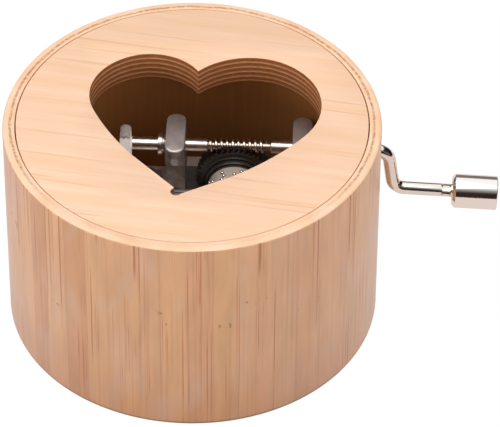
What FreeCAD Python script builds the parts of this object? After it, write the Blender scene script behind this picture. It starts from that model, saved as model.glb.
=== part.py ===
import FreeCAD, Part
import math
import os
import re

import Sketcher

# A round wooden music box, turned by a small crank on its right side. Millimetres, +Z up, the origin at
# the centre of the underside, +X along the crank shaft towards the knob and -Y towards the front.
# A single-start worm on the crank shaft drives a 42-tooth wheel on the end of a pinned drum, and the pins
# of the drum pass the tips of a steel comb that lies to the left of it.

SIZES = {
    # the case
    "case_diameter": 75.0,
    "case_height": 47.0,
    "wall_thickness": 4.0,
    "rim_thickness": 2.4,
    "lid_thickness": 6.0,
    "floor_thickness": 6.0,
    "disc_gap": 0.15,
    "rim_round": 0.45,
    "shaft_port_diameter": 5.0,
    # the heart-shaped window of the lid
    "heart_width": 42.5,
    "heart_height": 42.5,
    "heart_turn": -3.8,
    "heart_tip_relief": 0.85,
    # the crank and its worm
    "shaft_height": 26.0,
    "shaft_offset": 17.1,
    "wire_diameter": 2.7,
    "shaft_start": -13.4,
    "crank_reach": 38.9,
    "crank_drop": 10.05,
    "crank_slant": 1.6,
    "elbow_radius": 3.2,
    "wrist_radius": 2.0,
    "rod_splay": 2.3,
    "worm_pitch": 1.15,
    "worm_root_radius": 0.88,
    "worm_mesh_radius": 1.2,
    "worm_crest_radius": 1.43,
    "worm_start": 2.4,
    "worm_length": 12.6,
    # the knob and the collar
    "knob_start": 12.0,
    "knob_length": 9.45,
    "knob_diameter": 7.0,
    "knob_recess": 1.0,
    "pinch_width": 3.2,
    "pinch_thickness": 0.7,
    "running_gap": 0.05,
    "collar_diameter": 4.5,
    # the wheel and the drum
    "axle_place": 7.9,
    "wheel_teeth": 42.0,
    "wheel_width": 5.2,
    "wheel_front": 0.5,
    "first_step_end": 0.95,
    "first_step_radius": 6.5,
    "second_step_end": 1.75,
    "second_step_radius": 5.9,
    "wheel_addendum": 0.26,
    "wheel_dedendum": 0.31,
    "tooth_thickness": 0.48,
    "arbor_diameter": 1.6,
    "drum_diameter": 11.0,
    "drum_wall": 0.6,
    "drum_length": 20.4,
    "pin_diameter": 0.42,
    "pin_height": 0.62,
    # the comb
    "comb_teeth": 18.0,
    "tooth_pitch": 1.05,
    "comb_clearance": 0.12,
    "comb_level": 10.75,
    "comb_rear": -3.45,
    "comb_thickness": 1.2,
    # the die-cast frame, measured from the point of the floor that lies under the wheel
    "frame_left": -24.0,
    "frame_right": 16.0,
    "frame_front": -23.7,
    "frame_rear": 6.0,
    "frame_plate": 2.0,
    "frame_corner": 4.0,
    "pillar_width": 4.0,
    "pillar_depth": 12.0,
    "pillar_top": 3.2,
    "left_pillar": -12.2,
    "right_pillar": 13.7,
    "bed_height": 7.25,
    "stop_place": -22.45,
}


class Size:
    """A value of the sheet, or a sum made of such values, with the expression that gives it."""

    def __init__(self, number, text):
        self.number = float(number)
        self.text = text

    def __add__(self, other):
        other = as_size(other)
        return Size(self.number + other.number, f"({self.text} + {other.text})")

    def __sub__(self, other):
        other = as_size(other)
        return Size(self.number - other.number, f"({self.text} - {other.text})")

    def __mul__(self, other):
        other = as_size(other)
        return Size(self.number * other.number, f"({self.text} * {other.text})")

    def __truediv__(self, other):
        other = as_size(other)
        return Size(self.number / other.number, f"({self.text} / {other.text})")

    def __neg__(self):
        return Size(-self.number, f"(0 - {self.text})")

    __radd__ = __add__
    __rmul__ = __mul__

    def __rsub__(self, other):
        return as_size(other) - self


def as_size(value):
    if isinstance(value, Size):
        return value
    return Size(value, f"({value:.6f})")


document = FreeCAD.newDocument("music_box")
sheet = document.addObject("Spreadsheet::Sheet", "Dims")
for row, (alias, number) in enumerate(SIZES.items(), start=1):
    sheet.set(f"A{row}", alias.replace("_", " "))
    sheet.set(f"B{row}", str(number))
    sheet.setAlias(f"B{row}", alias)
document.recompute()


def dim(alias):
    """The named cell of the sheet."""
    return Size(SIZES[alias], f"Dims.{alias}")


def bind(thing, name, size):
    """Gives one property of an object a size of the sheet."""
    size = as_size(size)
    if not re.search(r"[.\[]", name):
        setattr(thing, name, size.number)
    thing.setExpression(name, size.text)


# ---------------------------------------------------------------- sketches and features


def new_body(label, place=(0, 0, 0), turn_axis=None, turn=None):
    """A PartDesign body whose local origin sits at place."""
    body = document.addObject("PartDesign::Body", label)
    body.Label = label
    for letter, size in zip("xyz", place):
        body.setExpression(f"Placement.Base.{letter}", as_size(size).text)
    if turn is not None:
        body.Placement = FreeCAD.Placement(
            FreeCAD.Vector(), FreeCAD.Rotation(FreeCAD.Vector(*turn_axis), turn.number)
        )
        body.setExpression("Placement.Rotation.Angle", turn.text)
    return body


def origin_part(body, role):
    return next(feature for feature in body.Origin.OriginFeatures if feature.Role == role)


def new_sketch(body, plane, name, lift=0, turn=0.0):
    """A sketch on a plane of the body's own origin, lifted along the plane's normal."""
    sketch = body.newObject("Sketcher::SketchObject", name)
    sketch.AttachmentSupport = [(origin_part(body, plane), "")]
    sketch.MapMode = "FlatFace"
    lift = as_size(lift)
    sketch.AttachmentOffset = FreeCAD.Placement(
        FreeCAD.Vector(0, 0, lift.number), FreeCAD.Rotation(FreeCAD.Vector(0, 0, 1), turn)
    )
    sketch.setExpression("AttachmentOffset.Base.z", lift.text)
    return sketch


def fix(sketch, kind, *where, size):
    """One dimension of a sketch, bound to the sheet."""
    size = as_size(size)
    index = sketch.addConstraint(Sketcher.Constraint(kind, *where, size.number))
    sketch.setExpression(f"Constraints[{index}]", size.text)


def arc_between(start, end, radius):
    """The minor arc from start to end that bends to the right of the way, and so bulges left."""
    middle = (start + end) / 2
    half = (end - start) / 2
    reach = math.sqrt(max(radius**2 - half.Length**2, 0.0))
    side = FreeCAD.Vector(half.y, -half.x, 0).normalize()
    centre = middle + side * reach
    first = math.atan2(end.y - centre.y, end.x - centre.x)
    last = math.atan2(start.y - centre.y, start.x - centre.x)
    circle = Part.Circle(centre, FreeCAD.Vector(0, 0, 1), radius)
    return Part.ArcOfCircle(circle, first, last)


def outline(sketch, corners, radii=None):
    """A closed outline through the corners. An edge with a radius is an arc that bulges to the left."""
    corners = [(as_size(x), as_size(y)) for x, y in corners]
    radii = radii or [None] * len(corners)
    spots = [FreeCAD.Vector(x.number, y.number, 0) for x, y in corners]
    edges = []
    for index, radius in enumerate(radii):
        start = spots[index]
        end = spots[(index + 1) % len(spots)]
        if radius is None:
            edges.append((sketch.addGeometry(Part.LineSegment(start, end)), 1, 2))
        else:
            edges.append((sketch.addGeometry(arc_between(start, end, as_size(radius).number)), 2, 1))
    for index, (edge, begin, finish) in enumerate(edges):
        after, after_begin, _ = edges[(index + 1) % len(edges)]
        sketch.addConstraint(Sketcher.Constraint("Coincident", edge, finish, after, after_begin))
        fix(sketch, "DistanceX", -1, 1, edge, begin, size=corners[index][0])
        fix(sketch, "DistanceY", -1, 1, edge, begin, size=corners[index][1])
        if radii[index] is not None:
            fix(sketch, "Radius", edge, size=radii[index])


def rectangle(sketch, left, low, right, high):
    outline(sketch, [(left, low), (right, low), (right, high), (left, high)])


def circle(sketch, x, y, diameter):
    radius = as_size(diameter) / 2
    x = as_size(x)
    y = as_size(y)
    centre = FreeCAD.Vector(x.number, y.number, 0)
    edge = sketch.addGeometry(Part.Circle(centre, FreeCAD.Vector(0, 0, 1), radius.number))
    fix(sketch, "DistanceX", -1, 1, edge, 3, size=x)
    fix(sketch, "DistanceY", -1, 1, edge, 3, size=y)
    fix(sketch, "Radius", edge, size=radius)


def pad(body, sketch, length, name, both_ways=False, backwards=False):
    feature = body.newObject("PartDesign::Pad", name)
    feature.Profile = sketch
    feature.Midplane = both_ways
    feature.Reversed = backwards
    bind(feature, "Length", length)
    return feature


def pocket(body, sketch, name, length=None, backwards=False, both_ways=False):
    """A pocket of a given depth, or right through, that has to take material away."""
    document.recompute()
    before = body.Shape.Volume
    feature = body.newObject("PartDesign::Pocket", name)
    feature.Profile = sketch
    feature.Reversed = backwards
    feature.Midplane = both_ways
    if length is None:
        feature.Type = "ThroughAll"
    else:
        bind(feature, "Length", length)
    document.recompute()
    if feature.Shape.Volume > before - 1e-4:
        raise RuntimeError(f"{name} takes nothing away")
    return feature


def revolve(body, sketch, name, axis="V_Axis", kind="Revolution"):
    feature = body.newObject(f"PartDesign::{kind}", name)
    feature.Profile = sketch
    feature.ReferenceAxis = (sketch, [axis])
    feature.Angle = 360.0
    return feature


def edges_of(feature, wanted):
    """The names of a feature's edges that pass a test."""
    document.recompute()
    return [f"Edge{i}" for i, edge in enumerate(feature.Shape.Edges, start=1) if wanted(edge)]


def dress(body, feature, wanted, size, name, kind="Fillet"):
    """A fillet or a chamfer along the edges that pass a test."""
    names = edges_of(feature, wanted)
    if not names:
        raise RuntimeError(f"{name} finds no edge")
    dressing = body.newObject(f"PartDesign::{kind}", name)
    dressing.Base = (feature, names)
    bind(dressing, "Radius" if kind == "Fillet" else "Size", size)
    return dressing


def round_edge(radius, height, axis=2):
    """A test for a circular edge of one radius, about the local axis, at one height along it."""

    def wanted(edge):
        curve = edge.Curve
        if curve.TypeId != "Part::GeomCircle" or abs(curve.Radius - radius) > 0.01:
            return False
        return abs(curve.Center[axis] - height) < 0.01 and abs(curve.Axis[axis]) > 0.99

    return wanted


def upright_edge(left, right, low=-1e9, high=1e9):
    """A test for a straight upright edge whose x and y lie inside a window."""

    def wanted(edge):
        if edge.Curve.TypeId != "Part::GeomLine" or abs(edge.tangentAt(edge.FirstParameter).z) < 0.99:
            return False
        middle = edge.CenterOfMass
        return left < middle.x < right and low < middle.y < high

    return wanted


# ---------------------------------------------------------------- sizes that follow from the sheet

case_radius = dim("case_diameter") / 2
inner_radius = case_radius - dim("wall_thickness")
rim_radius = case_radius - dim("rim_thickness")
disc_diameter = (rim_radius - dim("disc_gap")) * 2
wire_radius = dim("wire_diameter") / 2
wheel_pitch_radius = dim("worm_pitch") * dim("wheel_teeth") / (2 * math.pi)
axle_drop = wheel_pitch_radius + dim("worm_mesh_radius")
axle_height = dim("shaft_height") - axle_drop
arbor_radius = dim("arbor_diameter") / 2
drum_radius = dim("drum_diameter") / 2
pin_reach = drum_radius + dim("pin_height")
wheel_half = dim("wheel_width") / 2
drum_rear = -wheel_half - 0.05
drum_front = drum_rear - dim("drum_length")

# heights above the floor, and places measured from the wheel's middle, for the pieces on the frame
frame_place = (dim("axle_place"), dim("shaft_offset"), dim("floor_thickness"))
axle_level = axle_height - dim("floor_thickness")
shaft_level = dim("shaft_height") - dim("floor_thickness")
comb_front = dim("comb_rear") - dim("comb_teeth") * dim("tooth_pitch")
comb_tip = -pin_reach - dim("comb_clearance")
comb_heel_left = dim("frame_left") + 0.5
comb_heel_right = dim("frame_left") + 6.5
comb_underside = dim("comb_level") - dim("comb_thickness")
bracket_rear = dim("frame_front")
bracket_thickness = 1.5

mounting_spots = [(dim("frame_left") + 4.0, dim("frame_front") + 4.0), (-8.0, 3.0), (12.5, -18.5)]
mounting_screw_diameter = 2.6
mounting_bore = 2.7
comb_screw_places = [dim("comb_rear") - 4.5, comb_front + 4.5]
comb_screw_diameter = 2.0
bracket_screw_places = [-6.0, 6.0]
bracket_screw_level = 2.2
bracket_screw_diameter = 1.5


# ---------------------------------------------------------------- the wooden case


def make_side_wall():
    """The bamboo ring: rebated top and bottom for the two discs, with a port for the shaft."""
    body = new_body("side_wall")
    profile = new_sketch(body, "XZ_Plane", "wall_profile")
    top = dim("case_height")
    ledge = top - dim("lid_thickness")
    floor = dim("floor_thickness")
    outline(
        profile,
        [
            (rim_radius, 0),
            (case_radius, 0),
            (case_radius, top),
            (rim_radius, top),
            (rim_radius, ledge),
            (inner_radius, ledge),
            (inner_radius, floor),
            (rim_radius, floor),
        ],
    )
    ring = revolve(body, profile, "wall_ring")
    rim = round_edge(case_radius.number, top.number)
    dress(body, ring, rim, dim("rim_round"), "rim_edge", kind="Chamfer")
    port = new_sketch(body, "YZ_Plane", "port")
    circle(port, dim("shaft_offset"), dim("shaft_height"), dim("shaft_port_diameter"))
    pocket(body, port, "shaft_port", length=dim("case_diameter"), backwards=True)
    return body


# The window is a heart drawn by hand, so its lobes differ a little. The corners are shares of its width
# and its height, and each radius is a share of its width, clockwise from the notch between the lobes.
HEART_CORNERS = [
    (-0.023, 0.370),
    (0.332, 0.484),
    (0.529, -0.042),
    (0.211, -0.366),
    (-0.012, -0.518),
    (-0.255, -0.254),
    (-0.471, 0.032),
    (-0.341, 0.441),
]
HEART_RADII = [0.348, 0.343, 1.287, None, None, 1.348, 0.294, 0.264]
HEART_TIP_SPOT = (-0.021, -0.4905)


def make_lid():
    """The plywood lid with its heart-shaped window."""
    body = new_body(
        "lid",
        place=(0, 0, dim("case_height") - dim("lid_thickness")),
        turn_axis=(0, 0, 1),
        turn=dim("heart_turn"),
    )
    disc = new_sketch(body, "XY_Plane", "lid_outline")
    circle(disc, 0, 0, disc_diameter)
    pad(body, disc, dim("lid_thickness"), "lid_disc")
    heart = new_sketch(body, "XY_Plane", "heart_outline")
    corners = [(dim("heart_width") * x, dim("heart_height") * y) for x, y in HEART_CORNERS]
    radii = [None if share is None else dim("heart_width") * share for share in HEART_RADII]
    outline(heart, corners, radii)
    pocket(body, heart, "heart_window", backwards=True)
    relief = new_sketch(body, "XY_Plane", "tip_relief")
    tip_x, tip_y = HEART_TIP_SPOT
    circle(relief, dim("heart_width") * tip_x, dim("heart_height") * tip_y, dim("heart_tip_relief") * 2)
    pocket(body, relief, "tip_relief_cut", backwards=True)
    return body


def make_floor():
    """The plywood disc that closes the case from below and carries the movement on its screws."""
    body = new_body("floor_disc")
    disc = new_sketch(body, "XY_Plane", "floor_outline")
    circle(disc, 0, 0, disc_diameter)
    pad(body, disc, dim("floor_thickness"), "floor")
    holes = new_sketch(body, "XY_Plane", "screw_holes")
    heads = new_sketch(body, "XY_Plane", "screw_seats")
    for x, y in mounting_spots:
        circle(holes, dim("axle_place") + x, dim("shaft_offset") + y, mounting_bore)
        circle(heads, dim("axle_place") + x, dim("shaft_offset") + y, 5.4)
    pocket(body, holes, "screw_hole_cut", backwards=True)
    pocket(body, heads, "screw_seat_cut", length=2.2, backwards=True)
    return body


# ---------------------------------------------------------------- the fixed pieces of the movement


def make_frame():
    """The die-cast frame: plate, comb bed, rear wall with the drum's bearing, and two pillars."""
    body = new_body("movement_frame", place=frame_place)
    plate = new_sketch(body, "XY_Plane", "plate_outline")
    rectangle(plate, dim("frame_left"), dim("frame_front"), dim("frame_right"), dim("frame_rear"))
    last = pad(body, plate, dim("frame_plate"), "plate")
    last = dress(body, last, upright_edge(-1e9, 1e9), dim("frame_corner"), "plate_corners")

    half_width = dim("pillar_width") / 2
    half_depth = dim("pillar_depth") / 2
    head_foot = shaft_level - 0.6
    column_front = dim("comb_rear") + 0.25
    for side in ("left", "right"):
        middle = dim(f"{side}_pillar")
        column = new_sketch(body, "XY_Plane", f"{side}_column")
        rectangle(column, middle - half_width, column_front, middle + half_width, half_depth)
        pad(body, column, head_foot, f"{side}_column_pad")
        head = new_sketch(body, "XY_Plane", f"{side}_head", lift=head_foot)
        rectangle(head, middle - half_width, -half_depth, middle + half_width, half_depth)
        last = pad(body, head, shaft_level + dim("pillar_top") - head_foot, f"{side}_head_pad")
    foot_height = head_foot.number

    def pillar_corner(edge):
        return upright_edge(-1e9, 1e9)(edge) and edge.CenterOfMass.z > foot_height

    last = dress(body, last, pillar_corner, half_width - 0.1, "pillar_corners")
    crown = shaft_level + dim("pillar_top")

    def crown_edge(edge):
        return abs(edge.BoundBox.ZMin - crown.number) < 0.01

    last = dress(body, last, crown_edge, 0.35, "pillar_crowns", kind="Chamfer")

    bed = new_sketch(body, "XY_Plane", "bed_outline")
    bed_right = dim("frame_left") + 7.5
    rectangle(bed, dim("frame_left"), comb_front - 0.4, bed_right, dim("comb_rear") + 0.2)
    pad(body, bed, dim("bed_height"), "comb_bed")
    ledge = new_sketch(body, "XY_Plane", "ledge_outline")
    ledge_right = dim("left_pillar") - half_width + 0.5
    rectangle(ledge, dim("frame_left"), -2.4, ledge_right, dim("frame_rear") - 1.0)
    pad(body, ledge, 9.4, "stop_ledge")
    wall = new_sketch(body, "XY_Plane", "rear_wall_outline")
    wall_front = wheel_half + 0.35
    wall_rear = dim("frame_rear") - 0.1
    wall_left = dim("left_pillar") + half_width - 0.3
    wall_right = dim("right_pillar") - half_width + 0.3
    rectangle(wall, wall_left, wall_front, wall_right, wall_rear)
    pad(body, wall, axle_level + 0.4, "rear_wall")
    boss = new_sketch(body, "XZ_Plane", "bearing_boss", lift=-wall_rear)
    circle(boss, 0, axle_level, 5.0)
    pad(body, boss, wall_rear - wall_front, "bearing_boss_pad")
    rail = new_sketch(body, "XY_Plane", "front_rail")
    rectangle(rail, -9.0, dim("frame_front"), 9.0, dim("frame_front") + 3.5)
    pad(body, rail, 4.2, "bracket_rail")
    posts = new_sketch(body, "XY_Plane", "screw_posts")
    right_spot = mounting_spots[2]
    circle(posts, right_spot[0], right_spot[1], 5.0)
    pad(body, posts, 4.5, "screw_post")

    bore = new_sketch(body, "YZ_Plane", "shaft_bore", lift=dim("frame_left"))
    circle(bore, 0, shaft_level, (dim("worm_crest_radius") + 0.03) * 2)
    pocket(body, bore, "shaft_bore_cut", length=dim("frame_right") - dim("frame_left"), backwards=True)
    arbor = new_sketch(body, "XZ_Plane", "arbor_bore")
    circle(arbor, 0, axle_level, (arbor_radius + dim("running_gap")) * 2)
    pocket(body, arbor, "arbor_bore_cut", length=dim("frame_rear") + 1.0)
    screws = new_sketch(body, "XY_Plane", "mounting_holes")
    for x, y in mounting_spots:
        circle(screws, x, y, mounting_screw_diameter)
    pocket(body, screws, "mounting_hole_cut", length=4.0, backwards=True)
    comb_holes = new_sketch(body, "XY_Plane", "comb_holes", lift=dim("bed_height"))
    for place in comb_screw_places:
        circle(comb_holes, dim("frame_left") + 3.5, place, comb_screw_diameter)
    pocket(body, comb_holes, "comb_hole_cut", length=4.0)
    stop_hole = new_sketch(body, "XY_Plane", "stop_hole", lift=9.4)
    circle(stop_hole, dim("stop_place") + 4.4, 1.2, bracket_screw_diameter)
    pocket(body, stop_hole, "stop_hole_cut", length=3.0)
    rail_holes = new_sketch(body, "XZ_Plane", "rail_holes", lift=-dim("frame_front"))
    for place in bracket_screw_places:
        circle(rail_holes, place, bracket_screw_level, bracket_screw_diameter)
    pocket(body, rail_holes, "rail_hole_cut", length=3.0)
    return body


def make_comb():
    """The steel comb: a heel, and teeth that grow shorter towards the front and thinner to their tips."""
    body = new_body("comb", place=frame_place)
    plate = new_sketch(body, "XY_Plane", "comb_outline", lift=comb_underside)
    rectangle(plate, comb_heel_left, comb_front, comb_tip, dim("comb_rear"))
    pad(body, plate, dim("comb_thickness"), "comb_plate")
    relief = new_sketch(body, "XZ_Plane", "tooth_relief", lift=-dim("comb_rear"))
    outline(
        relief,
        [
            (comb_heel_right + 0.6, comb_underside - 0.2),
            (comb_tip + 0.2, comb_underside - 0.2),
            (comb_tip + 0.2, comb_underside + 0.6),
            (comb_heel_right + 1.4, comb_underside + 0.35),
        ],
    )
    pocket(body, relief, "tooth_relief_cut", length=dim("comb_teeth") * dim("tooth_pitch"), backwards=True)
    slots = new_sketch(body, "XY_Plane", "tooth_slots", lift=comb_underside)
    count = round(SIZES["comb_teeth"])
    for index in range(1, count):
        middle = dim("comb_rear") - dim("tooth_pitch") * index
        root = comb_heel_right + 0.9 + 0.16 * index
        neck = comb_tip - 1.1
        end = comb_tip + 0.1
        outline(
            slots,
            [
                (root, middle - 0.14),
                (neck, middle - 0.14),
                (end, middle - 0.32),
                (end, middle + 0.32),
                (neck, middle + 0.14),
                (root, middle + 0.14),
            ],
        )
    pocket(body, slots, "tooth_slot_cut", backwards=True)
    holes = new_sketch(body, "XY_Plane", "comb_screw_holes", lift=comb_underside)
    for place in comb_screw_places:
        circle(holes, dim("frame_left") + 3.5, place, comb_screw_diameter + 0.4)
    pocket(body, holes, "comb_screw_cut", backwards=True)
    return body


def make_comb_base():
    """The bar under the comb's heel."""
    body = new_body("comb_base", place=frame_place)
    bar = new_sketch(body, "XY_Plane", "bar_outline", lift=dim("bed_height"))
    rectangle(bar, comb_heel_left, comb_front, comb_heel_right, dim("comb_rear"))
    pad(body, bar, comb_underside - dim("bed_height"), "bar")
    holes = new_sketch(body, "XY_Plane", "bar_holes", lift=dim("bed_height"))
    for place in comb_screw_places:
        circle(holes, dim("frame_left") + 3.5, place, comb_screw_diameter + 0.4)
    pocket(body, holes, "bar_hole_cut", backwards=True)
    return body


def make_screws(label, spots, axis, diameter, length, head_diameter, head_height):
    """A group of like screws, each a separate solid, whose heads point along axis from the spots."""
    turn = FreeCAD.Rotation(FreeCAD.Vector(0, 0, 1), FreeCAD.Vector(*axis))
    solids = []
    for spot in spots:
        shank = Part.makeCylinder(diameter / 2, length, FreeCAD.Vector(0, 0, -length))
        piece = shank.fuse(Part.makeCylinder(head_diameter / 2, head_height))
        piece.Placement = FreeCAD.Placement(FreeCAD.Vector(*(as_size(x).number for x in spot)), turn)
        solids.append(piece)
    feature = document.addObject("Part::Feature", label)
    feature.Label = label
    feature.Shape = Part.makeCompound(solids)
    feature.Placement = FreeCAD.Placement(
        FreeCAD.Vector(*(as_size(x).number for x in frame_place)), FreeCAD.Rotation()
    )
    return feature


def make_stop():
    """The end stop: a foot on the ledge, and a post that takes the push of the worm on the shaft's end."""
    body = new_body("end_stop", place=frame_place)
    foot = new_sketch(body, "XY_Plane", "stop_foot", lift=9.4)
    rectangle(foot, dim("stop_place") - 1.1, -1.8, dim("stop_place") + 7.0, 1.8 + 1.2)
    pad(body, foot, 0.9, "foot")
    post = new_sketch(body, "XY_Plane", "stop_post", lift=9.4)
    rectangle(post, dim("stop_place") - 1.1, -1.8, dim("stop_place") + 1.1, 1.8)
    last = pad(body, post, shaft_level + 3.4 - 9.4, "post")
    top = (shaft_level + 3.4).number

    def top_edge(edge):
        return abs(edge.BoundBox.ZMin - top) < 0.01 and edge.BoundBox.XLength < 0.1

    last = dress(body, last, top_edge, 1.0, "post_crown")
    hole = new_sketch(body, "XY_Plane", "foot_hole", lift=9.4)
    circle(hole, dim("stop_place") + 4.4, 1.2, bracket_screw_diameter + 0.3)
    pocket(body, hole, "foot_hole_cut", length=1.5, backwards=True)
    return body


def make_bracket():
    """The plate that carries the front end of the drum's arbor."""
    body = new_body("drum_bracket", place=frame_place)
    plate = new_sketch(body, "XZ_Plane", "bracket_outline", lift=-bracket_rear)
    outline(
        plate,
        [
            (-8.5, 0.3),
            (8.5, 0.3),
            (8.5, 4.2),
            (3.2, axle_level - 1.0),
            (1.8, axle_level + 2.9),
            (-1.8, axle_level + 2.9),
            (-3.2, axle_level - 1.0),
            (-8.5, 4.2),
        ],
    )
    pad(body, plate, bracket_thickness, "bracket_plate")
    holes = new_sketch(body, "XZ_Plane", "bracket_holes", lift=-bracket_rear)
    circle(holes, 0, axle_level, (arbor_radius + dim("running_gap")) * 2)
    for place in bracket_screw_places:
        circle(holes, place, bracket_screw_level, bracket_screw_diameter + 0.3)
    pocket(body, holes, "bracket_hole_cut", backwards=True)
    return body


# ---------------------------------------------------------------- the pinned drum and its wheel


def make_worm_wheel():
    """The plastic wheel: 42 slanted teeth, two steps in front, and a spigot in the drum's rear end."""
    body = new_body("worm_wheel", place=(dim("axle_place"), dim("shaft_offset"), axle_height))
    root = wheel_pitch_radius - dim("wheel_dedendum")
    spigot_radius = drum_radius - dim("drum_wall")
    section = new_sketch(body, "YZ_Plane", "wheel_section")
    outline(
        section,
        [
            (wheel_half, arbor_radius),
            (wheel_half, root),
            (-dim("wheel_front"), root),
            (-dim("wheel_front"), dim("first_step_radius")),
            (-dim("first_step_end"), dim("first_step_radius")),
            (-dim("first_step_end"), dim("second_step_radius")),
            (-dim("second_step_end"), dim("second_step_radius")),
            (-dim("second_step_end"), spigot_radius + 0.4),
            (drum_rear, spigot_radius + 0.4),
            (drum_rear, spigot_radius),
            (drum_rear - 2.0, spigot_radius),
            (drum_rear - 2.0, arbor_radius),
        ],
    )
    revolve(body, section, "wheel_blank", axis="H_Axis")
    lead_slope = SIZES["worm_pitch"] / (2 * math.pi * SIZES["worm_mesh_radius"])
    half_step = 180.0 / SIZES["wheel_teeth"]
    slope = math.tan(math.radians(20))
    inner = wheel_pitch_radius - dim("wheel_dedendum") - 0.15
    outer = wheel_pitch_radius + dim("wheel_addendum")
    half_inner = dim("tooth_thickness") / 2 + (dim("wheel_dedendum") + 0.15) * slope
    half_outer = dim("tooth_thickness") / 2 - dim("wheel_addendum") * slope
    faces = []
    ends = [("tooth_front", dim("wheel_front") - 0.05), ("tooth_rear", 0.05 - wheel_half)]
    for name, forward in ends:
        twist = math.degrees(forward.number * lead_slope / wheel_pitch_radius.number)
        face = new_sketch(body, "XZ_Plane", name, lift=forward, turn=twist - half_step)
        outline(
            face, [(-half_inner, inner), (half_inner, inner), (half_outer, outer), (-half_outer, outer)]
        )
        faces.append(face)
    tooth = body.newObject("PartDesign::AdditiveLoft", "tooth")
    tooth.Profile = faces[0]
    tooth.Sections = [faces[1]]
    tooth.Ruled = True
    ring = body.newObject("PartDesign::PolarPattern", "tooth_ring")
    ring.Originals = [tooth]
    ring.Axis = (origin_part(body, "Y_Axis"), [""])
    ring.Angle = 360.0
    ring.Occurrences = round(SIZES["wheel_teeth"])
    body.Tip = ring
    return body


# the pins of the two tracks beside the wheel: (turn in degrees, track)
PINS_BESIDE_WHEEL = [(75, 0), (117, 0), (90, 1), (113, 1), (143, 1), (158, 0)]


def drum_pins():
    """The pins of the drum, one short tune around it: (turn in degrees, track from the rear)."""
    free_tracks = round(SIZES["comb_teeth"]) - 2
    beats = 32
    melody = list(PINS_BESIDE_WHEEL)
    for beat in range(beats):
        turn = 12.0 + beat * 336.0 / beats
        melody.append((turn, 2 + (5 * beat + beat * beat // 7) % free_tracks))
        if beat % 2 == 0:
            melody.append((turn, 2 + (5 * beat + beat * beat // 7 + 8) % free_tracks))
    return melody


def make_drum():
    """The steel tube with its pins."""
    outer = document.addObject("Part::Cylinder", "drum_outside")
    bore = document.addObject("Part::Cylinder", "drum_bore")
    bind(outer, "Radius", drum_radius)
    bind(bore, "Radius", drum_radius - dim("drum_wall"))
    for cylinder in (outer, bore):
        bind(cylinder, "Height", dim("drum_length"))
    tube = document.addObject("Part::Cut", "drum_tube")
    tube.Base = outer
    tube.Tool = bore
    pins = []
    foot = drum_radius.number - SIZES["drum_wall"] / 2
    for turn, track in drum_pins():
        along = -SIZES["comb_rear"] - wheel_half.number - 0.05 + SIZES["tooth_pitch"] * (track + 0.5)
        corners = []
        for corner in range(5):
            angle = math.radians(90 * corner)
            reach = SIZES["pin_diameter"] / 2
            corners.append(FreeCAD.Vector(foot, reach * math.cos(angle), along + reach * math.sin(angle)))
        prism = Part.Face(Part.makePolygon(corners)).extrude(
            FreeCAD.Vector(pin_reach.number - foot, 0, 0)
        )
        prism.rotate(FreeCAD.Vector(), FreeCAD.Vector(0, 0, 1), turn)
        pins.append(prism)
    group = document.addObject("Part::Feature", "pin_group")
    group.Shape = Part.makeCompound(pins)
    drum = document.addObject("Part::Fuse", "pinned_drum")
    drum.Label = "pinned_drum"
    drum.Base = tube
    drum.Tool = group
    drum.Placement = FreeCAD.Placement(
        FreeCAD.Vector(
            SIZES["axle_place"], SIZES["shaft_offset"] + drum_rear.number, axle_height.number
        ),
        FreeCAD.Rotation(FreeCAD.Vector(1, 0, 0), 90),
    )
    return drum


def make_drum_cap():
    """The disc that closes the drum's front end."""
    body = new_body("drum_cap", place=(dim("axle_place"), dim("shaft_offset"), axle_height))
    section = new_sketch(body, "YZ_Plane", "cap_section")
    inner = drum_radius - dim("drum_wall")
    outline(
        section,
        [
            (drum_front, arbor_radius),
            (drum_front, arbor_radius + 1.4),
            (drum_front + 0.5, arbor_radius + 1.6),
            (drum_front + 0.5, inner),
            (drum_front + 2.0, inner),
            (drum_front + 2.0, arbor_radius),
        ],
    )
    revolve(body, section, "cap", axis="H_Axis")
    return body


def make_arbor():
    """The steel arbor that runs through wheel and drum."""
    body = new_body("drum_arbor", place=(dim("axle_place"), dim("shaft_offset"), axle_height))
    rear = dim("frame_rear") - 0.6
    front = bracket_rear - bracket_thickness - 0.7
    section = new_sketch(body, "YZ_Plane", "arbor_section")
    outline(
        section,
        [
            (front, 0),
            (front, arbor_radius - 0.3),
            (front + 0.3, arbor_radius),
            (rear - 0.3, arbor_radius),
            (rear, arbor_radius - 0.3),
            (rear, 0),
        ],
    )
    revolve(body, section, "arbor", axis="H_Axis")
    return body


# ---------------------------------------------------------------- the crank and its knob


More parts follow.
